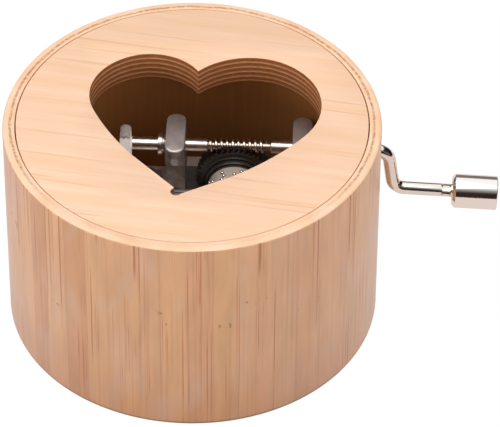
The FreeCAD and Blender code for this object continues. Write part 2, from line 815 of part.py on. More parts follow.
def make_crank():
    """The crank: one bent wire with the worm rolled into it, pinched flat ahead of the knob."""
    body = new_body("crank_shaft", place=(0, dim("shaft_offset"), dim("shaft_height")))
    path = new_sketch(body, "XZ_Plane", "wire_path")
    elbow_x = dim("crank_reach")
    wrist_x = elbow_x + dim("crank_slant")
    wrist_z = -dim("crank_drop")
    splay = math.radians(SIZES["rod_splay"])
    rod = dim("knob_start") + dim("knob_length") - dim("knob_recess") + 0.3
    end_x = wrist_x + rod * math.cos(splay)
    end_z = wrist_z - rod * math.sin(splay)
    bends = [dim("elbow_radius"), dim("wrist_radius")]
    spots = [(dim("shaft_start"), as_size(0)), (elbow_x, as_size(0)), (wrist_x, wrist_z), (end_x, end_z)]
    points = [FreeCAD.Vector(x.number, z.number, 0) for x, z in spots]
    stretches = bent_path(points, [bend.number for bend in bends])
    for geometry in stretches:
        path.addGeometry(geometry)
    close_path(path, stretches)
    for (edge, spot), (x, z) in zip([(0, 1), (4, 2)], [spots[0], spots[3]]):
        fix(path, "DistanceX", -1, 1, edge, spot, size=x)
        fix(path, "DistanceY", -1, 1, edge, spot, size=z)
    for edge, bend in zip((1, 3), bends):
        fix(path, "Radius", edge, size=bend)
    for (x, z), lines in zip(spots[1:3], [(0, 2), (2, 4)]):
        corner = path.addGeometry(Part.Point(FreeCAD.Vector(x.number, z.number, 0)), True)
        fix(path, "DistanceX", -1, 1, corner, 1, size=x)
        fix(path, "DistanceY", -1, 1, corner, 1, size=z)
        for line in lines:
            path.addConstraint(Sketcher.Constraint("PointOnObject", corner, 1, line))
    wire = new_sketch(body, "YZ_Plane", "wire_section", lift=dim("shaft_start"))
    circle(wire, 0, 0, dim("wire_diameter"))
    pipe = body.newObject("PartDesign::AdditivePipe", "bent_wire")
    pipe.Profile = wire
    pipe.Spine = (path, [f"Edge{i}" for i in range(1, 6)])

    worm_end = dim("worm_start") + dim("worm_length")
    neck = new_sketch(body, "XZ_Plane", "worm_neck")
    outline(
        neck,
        [
            (dim("worm_start"), dim("worm_root_radius")),
            (worm_end, dim("worm_root_radius")),
            (worm_end + 0.4, wire_radius + 0.3),
            (dim("worm_start") - 0.4, wire_radius + 0.3),
        ],
    )
    revolve(body, neck, "worm_neck_cut", axis="H_Axis", kind="Groove")
    slope = math.tan(math.radians(20))
    root = dim("worm_root_radius") - 0.06
    half_mesh = dim("worm_pitch") * 0.2
    half_root = half_mesh + (dim("worm_mesh_radius") - root) * slope
    half_crest = half_mesh - (dim("worm_crest_radius") - dim("worm_mesh_radius")) * slope
    first = dim("axle_place") - dim("worm_pitch") * 4.5
    thread = new_sketch(body, "XZ_Plane", "thread_section")
    outline(
        thread,
        [
            (first - half_root, root),
            (first + half_root, root),
            (first + half_crest, dim("worm_crest_radius")),
            (first - half_crest, dim("worm_crest_radius")),
        ],
    )
    worm = body.newObject("PartDesign::AdditiveHelix", "worm_thread")
    worm.Profile = thread
    worm.ReferenceAxis = (thread, ["H_Axis"])
    worm.Mode = "pitch-height-angle"
    bind(worm, "Pitch", dim("worm_pitch"))
    bind(worm, "Height", dim("worm_pitch") * 10)

    pinch = new_sketch(body, "XZ_Plane", "pinch_outline")
    ears = []
    ear_start = dim("knob_start") - 2.2
    ear_end = dim("knob_start") - 0.15
    half_thick = dim("pinch_thickness") / 2
    corners = [(ear_start, 1), (ear_end, 1), (ear_end, -1), (ear_start, -1)]
    for along, side in corners:
        across = half_thick * side
        ears.append(
            (
                wrist_x + (along * math.cos(splay) + across * math.sin(splay)),
                wrist_z + (across * math.cos(splay) - along * math.sin(splay)),
            )
        )
    outline(pinch, ears)
    pad(body, pinch, dim("pinch_width"), "pinch", both_ways=True)
    return body


def bent_path(points, radii):
    """Lines and tangent arcs through the points: line, arc, line, arc, line."""
    pieces = []
    start = points[0]
    for before, corner, after, radius in zip(points, points[1:], points[2:], radii):
        way_in = (corner - before).normalize()
        way_out = (after - corner).normalize()
        turn = way_in.getAngle(way_out)
        setback = radius * math.tan(turn / 2)
        first = corner - way_in * setback
        last = corner + way_out * setback
        centre = corner + (way_out - way_in).normalize() * (radius / math.cos(turn / 2))
        pieces.append(Part.LineSegment(start, first))
        turns_left = way_in.x * way_out.y > way_in.y * way_out.x
        begin, finish = (first, last) if turns_left else (last, first)
        angles = [math.atan2(spot.y - centre.y, spot.x - centre.x) for spot in (begin, finish)]
        circle = Part.Circle(centre, FreeCAD.Vector(0, 0, 1), radius)
        pieces.append(Part.ArcOfCircle(circle, *angles))
        start = last
    pieces.append(Part.LineSegment(start, points[-1]))
    return pieces


def close_path(sketch, pieces):
    """Joins the ends of neighbouring edges, tangent to each other."""
    ends = []
    for index in range(len(pieces)):
        geometry = sketch.Geometry[index]
        ends.append((geometry.StartPoint, geometry.EndPoint))
    for index in range(len(pieces) - 1):
        pairs = [(a, b) for a in (1, 2) for b in (1, 2)]
        nearest = min(pairs, key=lambda p: (ends[index][p[0] - 1] - ends[index + 1][p[1] - 1]).Length)
        sketch.addConstraint(
            Sketcher.Constraint("Tangent", index, nearest[0], index + 1, nearest[1])
        )


def make_rivet():
    """The washer that is riveted on the rod's end and keeps the knob on."""
    return turned_on_rod(
        "knob_rivet",
        [
            (dim("knob_start") + dim("knob_length") - dim("knob_recess") + 0.3, 0),
            (dim("knob_start") + dim("knob_length") - dim("knob_recess") + 0.3, 1.9),
            (dim("knob_start") + dim("knob_length") - 0.35, 1.9),
            (dim("knob_start") + dim("knob_length") - 0.1, 1.3),
            (dim("knob_start") + dim("knob_length") - 0.1, 0),
        ],
    )


def make_knob():
    """The plated sleeve that turns on the rod."""
    start = dim("knob_start")
    end = start + dim("knob_length")
    radius = dim("knob_diameter") / 2
    bore = wire_radius + dim("running_gap")
    return turned_on_rod(
        "crank_knob",
        [
            (start, bore),
            (start, radius - 0.2),
            (start + 0.2, radius),
            (end - 0.25, radius),
            (end, radius - 0.25),
            (end, 2.3),
            (end - dim("knob_recess"), 2.3),
            (end - dim("knob_recess"), bore),
        ],
    )


def turned_on_rod(label, corners):
    """A piece turned about the rod that carries the knob. Its local X axis runs along the rod."""
    body = new_body(
        label,
        place=(
            dim("crank_reach") + dim("crank_slant"),
            dim("shaft_offset"),
            dim("shaft_height") - dim("crank_drop"),
        ),
        turn_axis=(0, 1, 0),
        turn=dim("rod_splay"),
    )
    section = new_sketch(body, "XZ_Plane", f"{label}_section")
    outline(section, corners)
    revolve(body, section, f"{label}_turned", axis="H_Axis")
    return body


def make_collar():
    """The flanged ring on the shaft, beside the left pillar."""
    body = new_body("shaft_collar", place=(0, dim("shaft_offset"), dim("shaft_height")))
    section = new_sketch(body, "XZ_Plane", "collar_section")
    pillar_face = dim("axle_place") + dim("left_pillar") - dim("pillar_width") / 2
    right = pillar_face - 0.15
    flange = dim("collar_diameter") / 2
    outline(
        section,
        [
            (right, wire_radius),
            (right, wire_radius + 0.45),
            (right - 0.55, wire_radius + 0.45),
            (right - 0.55, flange),
            (right - 1.4, flange),
            (right - 1.4, wire_radius),
        ],
    )
    revolve(body, section, "collar", axis="H_Axis")
    return body


# ---------------------------------------------------------------- build, test and write

head_depth = 2.2
pieces = [
    make_side_wall(),
    make_lid(),
    make_floor(),
    make_frame(),
    make_comb(),
    make_comb_base(),
    make_stop(),
    make_bracket(),
    make_worm_wheel(),
    make_drum(),
    make_drum_cap(),
    make_arbor(),
    make_crank(),
    make_collar(),
    make_knob(),
    make_rivet(),
    make_screws(
        "frame_screws",
        [(x, y, head_depth - dim("floor_thickness").number) for x, y in mounting_spots],
        (0, 0, -1),
        2.5,
        7.4,
        4.8,
        1.8,
    ),
    make_screws(
        "comb_screws",
        [(dim("frame_left") + 3.5, place, dim("comb_level")) for place in comb_screw_places],
        (0, 0, 1),
        1.9,
        6.6,
        4.0,
        1.5,
    ),
    make_screws("stop_screw", [(dim("stop_place") + 4.4, 1.2, 10.3)], (0, 0, 1), 1.4, 3.4, 2.8, 1.0),
    make_screws(
        "bracket_screws",
        [(place, bracket_rear - bracket_thickness, bracket_screw_level) for place in bracket_screw_places],
        (0, -1, 0),
        1.4,
        4.0,
        2.8,
        1.0,
    ),
]
document.recompute()

for thing in document.Objects:
    if "Invalid" in thing.State or "Error" in thing.State:
        raise RuntimeError(f"{thing.Name} is {thing.State}")
os.makedirs("parts", exist_ok=True)
for piece in pieces:
    shape = piece.Shape
    if shape.isNull() or not shape.isValid():
        raise RuntimeError(f"{piece.Label} has no valid shape")
for piece in pieces:
    piece.Shape.exportStep(os.path.join("parts", f"{piece.Label}.step"))
    print(f"{piece.Label}: {len(piece.Shape.Solids)} solid(s), {piece.Shape.Volume:.1f} mm3")
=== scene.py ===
# %% [markdown]
# # A bamboo music box with a hand crank
#
# The box is a round bamboo case, 75 mm across. A heart-shaped window in its lid shows a small movement:
# a crank shaft with a worm rolled into it, a black plastic wheel, a pinned drum and a steel comb.
#
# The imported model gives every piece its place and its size, and this lesson gives the pieces their looks.
# What the eye meets first is modelled afresh: the case, the lid, the drum, the crank and the knob. What
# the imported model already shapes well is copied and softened.

from functools import partial
from math import atan2, cos, hypot, pi, radians, sin, sqrt, tan

import bmesh
import bpy
from mathutils import Matrix, Vector


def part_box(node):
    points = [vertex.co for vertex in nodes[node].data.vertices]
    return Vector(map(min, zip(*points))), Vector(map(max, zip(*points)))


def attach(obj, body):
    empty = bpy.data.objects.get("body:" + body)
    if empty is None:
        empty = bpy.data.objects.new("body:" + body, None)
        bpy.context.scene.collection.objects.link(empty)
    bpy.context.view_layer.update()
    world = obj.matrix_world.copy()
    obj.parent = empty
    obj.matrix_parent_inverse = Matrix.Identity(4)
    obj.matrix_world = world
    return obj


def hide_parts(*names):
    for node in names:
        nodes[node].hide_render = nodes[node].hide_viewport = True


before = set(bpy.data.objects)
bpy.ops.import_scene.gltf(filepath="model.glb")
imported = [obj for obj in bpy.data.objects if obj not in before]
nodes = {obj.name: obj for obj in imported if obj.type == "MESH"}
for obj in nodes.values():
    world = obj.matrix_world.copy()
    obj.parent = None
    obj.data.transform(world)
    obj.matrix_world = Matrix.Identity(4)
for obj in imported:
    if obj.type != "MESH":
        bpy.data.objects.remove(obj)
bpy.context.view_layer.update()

# %% [markdown]
# ## Units, colours and nodes
#
# Blender works in metres, so a size below is a number of millimetres times MM. Colours are sRGB hex
# values, as a colour picker shows them, and one function turns them to the linear light that a shader
# wants. One more adds a shader node with its settings and links, so that a material reads as a list.

# %% Units, colours and nodes
MM = 0.001
# settings of a mixing node: its second colour covers the first one, or tints it
COVER = {"data_type": "RGBA"}
TINT = {"data_type": "RGBA", "blend_type": "MULTIPLY"}
# settings of a node that does arithmetic
TIMES, OVER = {"operation": "MULTIPLY"}, {"operation": "DIVIDE"}
MINUS, TIMES_PLUS = {"operation": "SUBTRACT"}, {"operation": "MULTIPLY_ADD"}


def linear(hex_colour):
    """An sRGB hex colour as linear light with full opacity."""
    channels = [int(hex_colour[i : i + 2], 16) / 255 for i in (1, 3, 5)]
    return [c / 12.92 if c <= 0.04045 else ((c + 0.055) / 1.055) ** 2.4 for c in channels] + [1.0]


def feed(node, *values, **inputs):
    """Gives a node its inputs, in the order of its sockets or by name, with _ for a space.

    An input is a number, a list, a hex colour, a socket, or a node, which stands for its first output.
    """
    sockets = [socket for socket in node.inputs if socket.enabled]
    pairs = list(zip(sockets, values))
    for name, value in inputs.items():
        pairs.append((next(s for s in sockets if s.name == name.replace("_", " ")), value))
    for socket, value in pairs:
        if isinstance(value, bpy.types.Node):
            value = next(output for output in value.outputs if output.enabled)
        if isinstance(value, bpy.types.NodeSocket):
            node.id_data.links.new(value, socket)
        else:
            socket.default_value = linear(value) if isinstance(value, str) else value
    return node


def add_node(tree, kind, *values, stops=(), **named):
    """Adds a node. A name in lower case is a setting of the node, any other one is an input (see feed).

    Stops are the marks of a colour ramp: each is a position with a hex colour or a grey value.
    """
    node = tree.nodes.new("ShaderNode" + kind)
    for name in [name for name in named if name.islower()]:
        setattr(node, name, named.pop(name))
    if stops:
        marks = node.color_ramp.elements
        while len(marks) < len(stops):
            marks.new(0.5)
        for mark, (position, tone) in zip(marks, stops):
            mark.position = position
            mark.color = linear(tone) if isinstance(tone, str) else [tone] * 3 + [1.0]
    return feed(node, *values, **named)


def new_material(name):
    """A material, a function that adds nodes to it, and its shader."""
    material = bpy.data.materials.new(name)
    material.use_nodes = True
    tree = material.node_tree
    return material, partial(add_node, tree), tree.nodes["Principled BSDF"]


def millimetres(add, stretch=(1, 1, 1), turn=0.0):
    """A point's place on the piece in millimetres, turned about Z and stretched along each axis."""
    place = add("TexCoord").outputs["Object"]
    turned_place = add("Mapping", place, Rotation=(0, 0, turn))
    return add("VectorMath", turned_place, [share / MM for share in stretch], **TIMES)


print("one grey, linear:", [round(c, 3) for c in linear("#808080")])

# %% [markdown]
# ## The camera
#
# The view is from the front, well above the lid. A long lens from most of a metre away keeps the round
# case nearly free of perspective.

# %% The camera
CAMERA_AZIMUTH = radians(1.85)
CAMERA_ELEVATION = radians(42.36)
CAMERA_ROLL = 0.0074
CAMERA_DISTANCE = 775 * MM
CAMERA_LENS_MM = 276.6
CAMERA_TARGET = Vector((11.54, 0.38, 22.65)) * MM
CAMERA_CLIP = 10 * MM
bpy.ops.object.camera_add()
camera = bpy.context.object
# it is turned about its target and drawn back along its own axis
camera.matrix_world = (
    Matrix.Translation(CAMERA_TARGET)
    @ Matrix.Rotation(CAMERA_AZIMUTH, 4, "Z")
    @ Matrix.Rotation(radians(90) - CAMERA_ELEVATION, 4, "X")
    @ Matrix.Rotation(CAMERA_ROLL, 4, "Z")
    @ Matrix.Translation((0, 0, CAMERA_DISTANCE))
)
camera.data.lens = CAMERA_LENS_MM
camera.data.clip_start = CAMERA_CLIP
bpy.context.scene.camera = camera
print("camera at", [round(c, 3) for c in camera.location])

# %% [markdown]
# ## The studio
#
# A white floor, a white world and three soft lamps: one overhead and one on either side. Plated metal has
# no colour of its own: it shows the room. In a studio the room is bright overhead and dark behind the
# camera, and that dark half draws the dark band along a polished rod. Here three dark cards stand in for
# it, in front, behind and to the right, seen by reflections only, which is simpler than a whole room.

# %% The studio
FLOOR_WIDTH = 3.0
# how bright the floor glows, and how much of it is that glow to the camera and in reflections
FLOOR_GLOW = 1.12
FLOOR_SEEN = 0.87
FLOOR_MIRRORED = 0.9
WORLD_STRENGTH = 0.62
# each card: name, width, height, foot, turn in degrees, colour, and the heights where it fades to white
CARDS = [
    ("front_card", 3.0, 2.0, (0, -0.62), 0, "#3E302A", (0.4, 1.7)),
    ("rear_card", 3.0, 0.62, (0, 0.75), 180, "#857C78", (0.5, 0.62)),
    ("right_card", 1.3, 0.75, (0.62, 0.1), 90, "#2A211E", (0.6, 0.75)),
]
# each lamp: name, watts, width and place
LAMPS = [
    ("top_box", 4.0, 0.8, (-0.1, -0.08, 0.95)),
    ("left_box", 4.7, 0.5, (-1.1, -0.68, 0.36)),
    ("right_box", 3.15, 0.5, (1.1, -0.68, 0.36)),
]
LAMP_TARGET = Vector((0, 0, 0.02))


def begin(name, operator, **settings):
    """Adds a primitive with nothing else selected, and names it."""
    bpy.ops.object.select_all(action="DESELECT")
    operator(**settings)
    piece = bpy.context.object
    piece.name = name
    return piece


def make_floor_material():
    """White paper, matt and even: the eye sees white with a trace of shadow, and metal mirrors it warmer."""
    material, add, paper = new_material("white_paper")
    feed(paper, Base_Color="#A8A09A", Roughness=0.9)
    rays = add("LightPath").outputs
    mirrored = add("Math", rays["Is Glossy Ray"], FLOOR_MIRRORED, **TIMES)
    seen = add("Math", rays["Is Camera Ray"], FLOOR_SEEN, **TIMES)
    blend = add("MixShader", mirrored, paper, add("Emission", "#EBDBD6", 1.0))
    blend = add("MixShader", seen, blend, add("Emission", "#FFFFFF", FLOOR_GLOW))
    feed(material.node_tree.nodes["Material Output"], Surface=blend)
    return material


def make_card(name, width, height, foot, turn, colour, fade):
    """A matt card that fades into white towards its top: the eye meets it as a dark band in metal only."""
    material, add, matt = new_material(name)
    feed(matt, Base_Color=colour, Roughness=1.0, Specular_IOR_Level=0.0)
    level = add("SeparateXYZ", add("TexCoord").outputs["Object"]).outputs["Z"]
    share = add("MapRange", level, From_Min=fade[0], From_Max=fade[1])
    blend = add("MixShader", share, matt, add("Emission"))
    feed(material.node_tree.nodes["Material Output"], Surface=blend)
    upright = (radians(90), 0, radians(turn))
    place = (*foot, height / 2)
    card = begin(name, bpy.ops.mesh.primitive_plane_add, size=1, location=place, rotation=upright)
    card.scale = (width, height, 1)
    bpy.ops.object.transform_apply(location=True, rotation=True, scale=True)
    card.data.materials.append(material)
    card.visible_camera = False
    card.visible_diffuse = False
    card.visible_shadow = False


def light_world():
    """Soft light from all round, and white where the camera or a reflection looks past the floor."""
    world = bpy.context.scene.world = bpy.data.worlds.new("studio")
    world.use_nodes = True
    tree = world.node_tree
    add = partial(add_node, tree)
    soft = feed(tree.nodes["Background"], "#FFFFFF", WORLD_STRENGTH)
    rays = add("LightPath").outputs
    seen = add("Math", rays["Is Camera Ray"], rays["Is Glossy Ray"], operation="MAXIMUM")
    blend = add("MixShader", seen, soft, add("Background", "#FFFFFF", 1.0))
    feed(tree.nodes["World Output"], Surface=blend)


def add_lamp(name, watts, width, place):
    """A square soft box that points at the piece."""
    lamp = begin(name, bpy.ops.object.light_add, type="AREA", location=place)
    lamp.data.energy = watts
    lamp.data.size = width
    lamp.rotation_euler = (LAMP_TARGET - Vector(place)).to_track_quat("-Z", "Y").to_euler()


floor = begin("paper_floor", bpy.ops.mesh.primitive_plane_add, size=FLOOR_WIDTH)
floor.data.materials.append(make_floor_material())
for card in CARDS:
    make_card(*card)
light_world()
for lamp in LAMPS:
    add_lamp(*lamp)
bpy.context.scene.view_settings.view_transform = "Standard"
print("lamps:", [lamp[0] for lamp in LAMPS])

# %% [markdown]
# ## Working by hand, in code
#
# New pieces start from a primitive and are shaped in edit mode. A few helpers do what the mouse would:
# round some edges, draw a profile by extruding corner after corner, spin it round an axis, apply a
# modifier, and paint some faces.

# %% Helpers for modelling
SMOOTH_LIMIT = radians(32)
# the wire and the knob have many steps, and a lower limit keeps their edges crisp
ROUND_SMOOTH_LIMIT = radians(28)
# two places closer than this are one, in mm
NEAR = 0.01
# the axis of a lathe and the way across it, in which a radius is drawn
LATHE = {"X": ((1, 0, 0), (0, 0, 1)), "Y": ((0, 1, 0), (0, 0, 1)), "Z": ((0, 0, 1), (1, 0, 0))}


def choose(piece):
    """Selects one piece alone."""
    bpy.ops.object.select_all(action="DESELECT")
    piece.select_set(True)
    bpy.context.view_layer.objects.active = piece


def edit(piece):
    """Opens one piece in edit mode."""
    choose(piece)
    bpy.ops.object.mode_set(mode="EDIT")


def select_whole():
    bpy.ops.mesh.select_all(action="SELECT")


def extrude(step):
    """Draws what is selected out by one step, and selects the new end."""
    bpy.ops.mesh.extrude_region_move(TRANSFORM_OT_translate={"value": step})


def leave_edit(outwards=False):
    """Leaves edit mode, if need be after all faces are turned outwards."""
    if outwards:
        select_whole()
        bpy.ops.mesh.normals_make_consistent(inside=False)
    bpy.ops.object.mode_set(mode="OBJECT")


def round_edges(piece, test, radius_mm, segments):
    """Rounds the edges that pass a test of their middle and their way."""
    bpy.context.tool_settings.mesh_select_mode = [False, True, False]
    mesh = piece.data
    for group in (mesh.vertices, mesh.edges, mesh.polygons):
        group.foreach_set("select", [False] * len(group))
    for edge in mesh.edges:
        start, end = [mesh.vertices[i].co for i in edge.vertices]
        edge.select = test((start + end) / 2, end - start)
    edit(piece)
    bpy.ops.mesh.bevel(offset=radius_mm * MM, segments=segments, profile=0.5, affect="EDGES")
    leave_edit()


def use_modifier(piece, kind, **settings):
    """Adds a modifier and applies it at once."""
    choose(piece)
    modifier = piece.modifiers.new(kind.lower(), kind)
    for name, value in settings.items():
        setattr(modifier, name, value)
    bpy.ops.object.modifier_apply(modifier=modifier.name)


def combine(piece, other, operation="DIFFERENCE"):
    """Cuts another piece out of a piece, or joins the two, and takes the other one away."""
    use_modifier(piece, "BOOLEAN", operation=operation, object=other, solver="EXACT")
    bpy.data.objects.remove(other)


def soften(piece, width_mm, limit=30):
    """Breaks the sharp edges of a piece with a narrow bevel, as sanding or tumbling does."""
    angle = radians(limit)
    use_modifier(piece, "BEVEL", width=width_mm * MM, segments=2, limit_method="ANGLE", angle_limit=angle)


def smooth(piece, limit=SMOOTH_LIMIT):
    choose(piece)
    bpy.ops.object.shade_smooth_by_angle(angle=limit)


def settle(piece):
    """Writes the piece's place, turn and size into its mesh, so that its object sits at the origin."""
    choose(piece)
    bpy.ops.object.transform_apply(location=True, rotation=True, scale=True)


def draw_profile(name, corners):
    """A closed chain of edges, drawn by extruding one corner to the next."""
    piece = begin(name, bpy.ops.mesh.primitive_plane_add, size=MM)
    piece.data.name = name
    bpy.ops.object.mode_set(mode="EDIT")
    bpy.ops.mesh.select_mode(type="VERT")
    select_whole()
    bpy.ops.mesh.merge(type="CENTER")
    select_whole()
    bpy.ops.transform.translate(value=corners[0])
    for before, after in zip(corners, corners[1:]):
        extrude(Vector(after) - Vector(before))
    select_whole()
    bpy.ops.mesh.edge_face_add()
    bpy.ops.mesh.delete(type="ONLY_FACE")
    leave_edit()
    return piece


def turned(name, outline, axis="X", steps=96):
    """A piece turned on a lathe: its outline is a list of (place along the axis, radius) in mm."""
    along, across = [Vector(way) for way in LATHE[axis]]
    piece = draw_profile(name, [(along * a + across * r) * MM for a, r in outline])
    edit(piece)
    select_whole()
    bpy.ops.mesh.spin(steps=steps, angle=2 * pi, center=(0, 0, 0), axis=along)
    select_whole()
    bpy.ops.mesh.remove_doubles(threshold=0.001 * MM)
    leave_edit(outwards=True)
    return piece


def make_rod(name, sides, radius, length, place, turn=(0, 0, 0)):
    """A cylinder; its sizes and its middle are in mm."""
    add_rod = partial(bpy.ops.mesh.primitive_cylinder_add, vertices=sides, radius=radius * MM)
    rod = begin(name, add_rod, depth=length * MM, location=Vector(place) * MM, rotation=turn)
    settle(rod)
    return rod


def drill(piece, radius, place, turn=(0, radians(90), 0)):
    """Cuts a round hole, along X unless it is turned another way."""
    combine(piece, make_rod("drill", 64, radius, 20, place, turn))


def paint(piece, rest, *rules):
    """Gives each face the material of the first rule whose test of its middle in mm and normal it passes."""
    piece.data.materials.clear()
    for material in [material for test, material in rules] + [rest]:
        piece.data.materials.append(material)
    for face in piece.data.polygons:
        passed = [test(face.center / MM, face.normal) for test, material in rules]
        face.material_index = (passed + [True]).index(True)


def is_closed(piece):
    """True if every edge has two faces and the faces point outwards, as on a real solid."""
    shape = bmesh.new()
    shape.from_mesh(piece.data)
    closed = all(edge.is_manifold for edge in shape.edges) and shape.calc_volume(signed=True) > 0
    shape.free()
    return closed


def finish_piece(piece, body, slot, *replaced):
    """Hands a finished piece to the model: its body and the nodes it replaces. The slot is not used."""
    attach(piece, body)
    if replaced:
        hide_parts(*replaced)
    print(piece.name, len(piece.data.polygons), "faces, closed:", is_closed(piece))


def fine_copy(node, name, bevel_mm):
    """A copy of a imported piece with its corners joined, its flat faces whole and its edges broken."""
    copy = bpy.data.objects.new(name, nodes[node].data.copy())
    copy.data.name = name
    bpy.context.scene.collection.objects.link(copy)
    edit(copy)
    select_whole()
    bpy.ops.mesh.remove_doubles(threshold=0.002 * MM)
    bpy.ops.mesh.dissolve_limited(angle_limit=radians(0.5))
    leave_edit()
    if bevel_mm:
        soften(copy, bevel_mm)
    smooth(copy)
    return copy


print("helpers ready")

# %% [markdown]
# ## Sizes
#
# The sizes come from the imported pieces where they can, so that a new piece sits exactly where the plain
# one was.

# %% Sizes
wall_low, wall_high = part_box("side_wall")
CASE_RADIUS = (wall_high.x - wall_low.x) / 2 / MM
CASE_HEIGHT = wall_high.z / MM
lid_low, lid_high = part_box("lid")
LID_THICKNESS = (lid_high.z - lid_low.z) / MM
LID_UNDERSIDE = lid_low.z / MM
WALL_THICKNESS = 4.0
RIM_THICKNESS = 2.4
DISC_GAP = 0.25
RIM_ROUND = 0.6
RIM_RADIUS = CASE_RADIUS - RIM_THICKNESS
INNER_RADIUS = CASE_RADIUS - WALL_THICKNESS
LID_RADIUS = RIM_RADIUS - DISC_GAP
LID_SWELL = 0.12
SHAFT_Y = 17.1
SHAFT_Z = 26.0
WIRE_RADIUS = 1.35
print(f"case {2 * CASE_RADIUS:.1f} x {CASE_HEIGHT:.1f} mm, lid {LID_THICKNESS:.1f} mm thick")

# %% [markdown]
# ## The bamboo wall
#
# The wall is made of upright bamboo strips, glued side by side and turned round on a lathe. Each strip
# has its own tan. Along a strip run fine fibres, some of them red-brown, and here and there sits a node,
# the knuckle of the cane. Noise on the plain X, Y and Z would run across the strips, so the pattern is
# drawn on the unrolled wall: one coordinate is the arc length round the case, the other one the height.

# %% The bamboo wall's finish
STRIP_WIDTH_MM = 5.2
# the heights between which the strips have their nodes
NODE_LEVELS_MM = (21.7, 33.7)


def make_bamboo():
    """Carbonised bamboo, glued in strips, turned, sanded and given a clear satin coat.

    That gives the eye a warm tan with fine upright fibres under a soft, broad shine.
    """
    material, add, shader = new_material("bamboo_strips_sanded")
    # arc length round the case and height, in mm
    parts = add("SeparateXYZ", add("TexCoord").outputs["Object"]).outputs
    angle = add("Math", parts["Y"], parts["X"], operation="ARCTAN2")
    round_way = add("Math", angle, CASE_RADIUS, **TIMES)
    height = add("Math", parts["Z"], MM, **OVER)

    def noise(per_mm, length_mm, seed=0.0, detail=2.0):
        """Noise on the unrolled wall, drawn out upwards."""
        across = add("Math", round_way, per_mm, **TIMES)
        place = add("CombineXYZ", across, add("Math", height, length_mm, **OVER), seed)
        return add("TexNoise", place, Scale=1.0, Detail=detail)

    strips = add("Math", round_way, STRIP_WIDTH_MM, **OVER)
    strip = add("TexVoronoi", voronoi_dimensions="1D", W=strips, Scale=1.0, Randomness=0.75)
    lot = add("SeparateColor", strip.outputs["Color"]).outputs
    # each strip is split from another cane and has a tan of its own
    tans = [(0.0, "#E5AF82"), (0.3, "#E0AA7A"), (0.55, "#E3AD85"), (0.8, "#D69C70"), (1.0, "#E8BA93")]
    tone = add("ValToRGB", lot["Red"], stops=tans)
    seed = add("Math", lot["Green"], 40.0, **TIMES)
    # within a strip the cane pales slowly from one side to the other
    cloud = noise(0.35, 14.0, seed)
    pale = add("ValToRGB", cloud, stops=[(0.33, 0.90), (0.67, 1.04)])
    tone = add("Mix", 1.0, tone, pale, **TINT)
    # here and there the cane has a paler, greyer bloom
    bloom = add("ValToRGB", noise(0.12, 16.0, 17.0), stops=[(0.52, 0.0), (0.7, 0.4)])
    tone = add("Mix", bloom, tone, "#DDBBA6", **COVER)
    # fibres about 0.4 mm wide and longer than the case is high; real ones are half as wide
    fibre = noise(1.9, 60.0, seed, 3.0)
    fibre_shade = add("ValToRGB", fibre, stops=[(0.28, "#D5AD90"), (0.46, "#FFFFFF")])
    tone = add("Mix", 0.4, tone, fibre_shade, **TINT)
    # red-brown streaks gather in some places and are absent in others
    streak = add("ValToRGB", noise(2.7, 120.0, seed), stops=[(0.58, 0.0), (0.63, 1.0)])
    gather = add("ValToRGB", noise(0.3, 26.0, 3.0), stops=[(0.47, 0.0), (0.58, 0.75)])
    amount = add("Math", streak, gather, **TIMES)
    tone = add("Mix", amount, tone, "#B0592E", **COVER)
    # a strip that holds a node of the cane shows a few small dark specks at the node's height
    node_level = add("MapRange", lot["Blue"], 0.0, 1.0, *NODE_LEVELS_MM)
    off_node = add("Math", add("Math", height, node_level, **MINUS), operation="ABSOLUTE")
    row = add("ValToRGB", off_node, stops=[(0.6, 1.0), (1.4, 0.0)])
    speck = add("ValToRGB", noise(0.6, 3.5, 9.0), stops=[(0.58, 0.0), (0.64, 0.8)])
    has_node = add("ValToRGB", lot["Green"], stops=[(0.62, 0.0), (0.66, 1.0)])
    speck = add("Math", speck, has_node, **TIMES)
    amount = add("Math", row, speck, **TIMES)
    tone = add("Mix", amount, tone, "#8F6038", **COVER)
    # painted shade: the wall darkens towards its foot, and a dark line on its rounded edge stands for the
    # contact shadow
    rise = add("Math", height, CASE_HEIGHT, **OVER)
    foot_shade = [(0.0, "#3E3024"), (0.009, "#8A7262"), (0.02, "#EFE1D0"), (0.35, "#FFFFFF")]
    tone = add("Mix", 1.0, tone, add("ValToRGB", rise, stops=foot_shade), **TINT)
    feed(shader, Base_Color=tone, Roughness=0.45, Coat_Weight=1.0, Coat_Roughness=0.3)
    feed(shader, Normal=add("Bump", Height=fibre, Distance=0.03 * MM))
    return material


bamboo = make_bamboo()
print("strips about", STRIP_WIDTH_MM, "mm wide")

# %% [markdown]
# ## The lid's face and the plies of its edge
#
# The lid is plywood with a face of pale bamboo veneer. The veneer's grain runs across the lid, a little
# downhill to the right. Where the heart is cut out, the plies show as dark and light bands. Three noises,
# each drawn out along the grain, make broad clouds, thin lines and fine hairs; one alone looks like paint.

# %% The lid's face
GRAIN_TURN = radians(8.5)
PLY_COUNT = 5


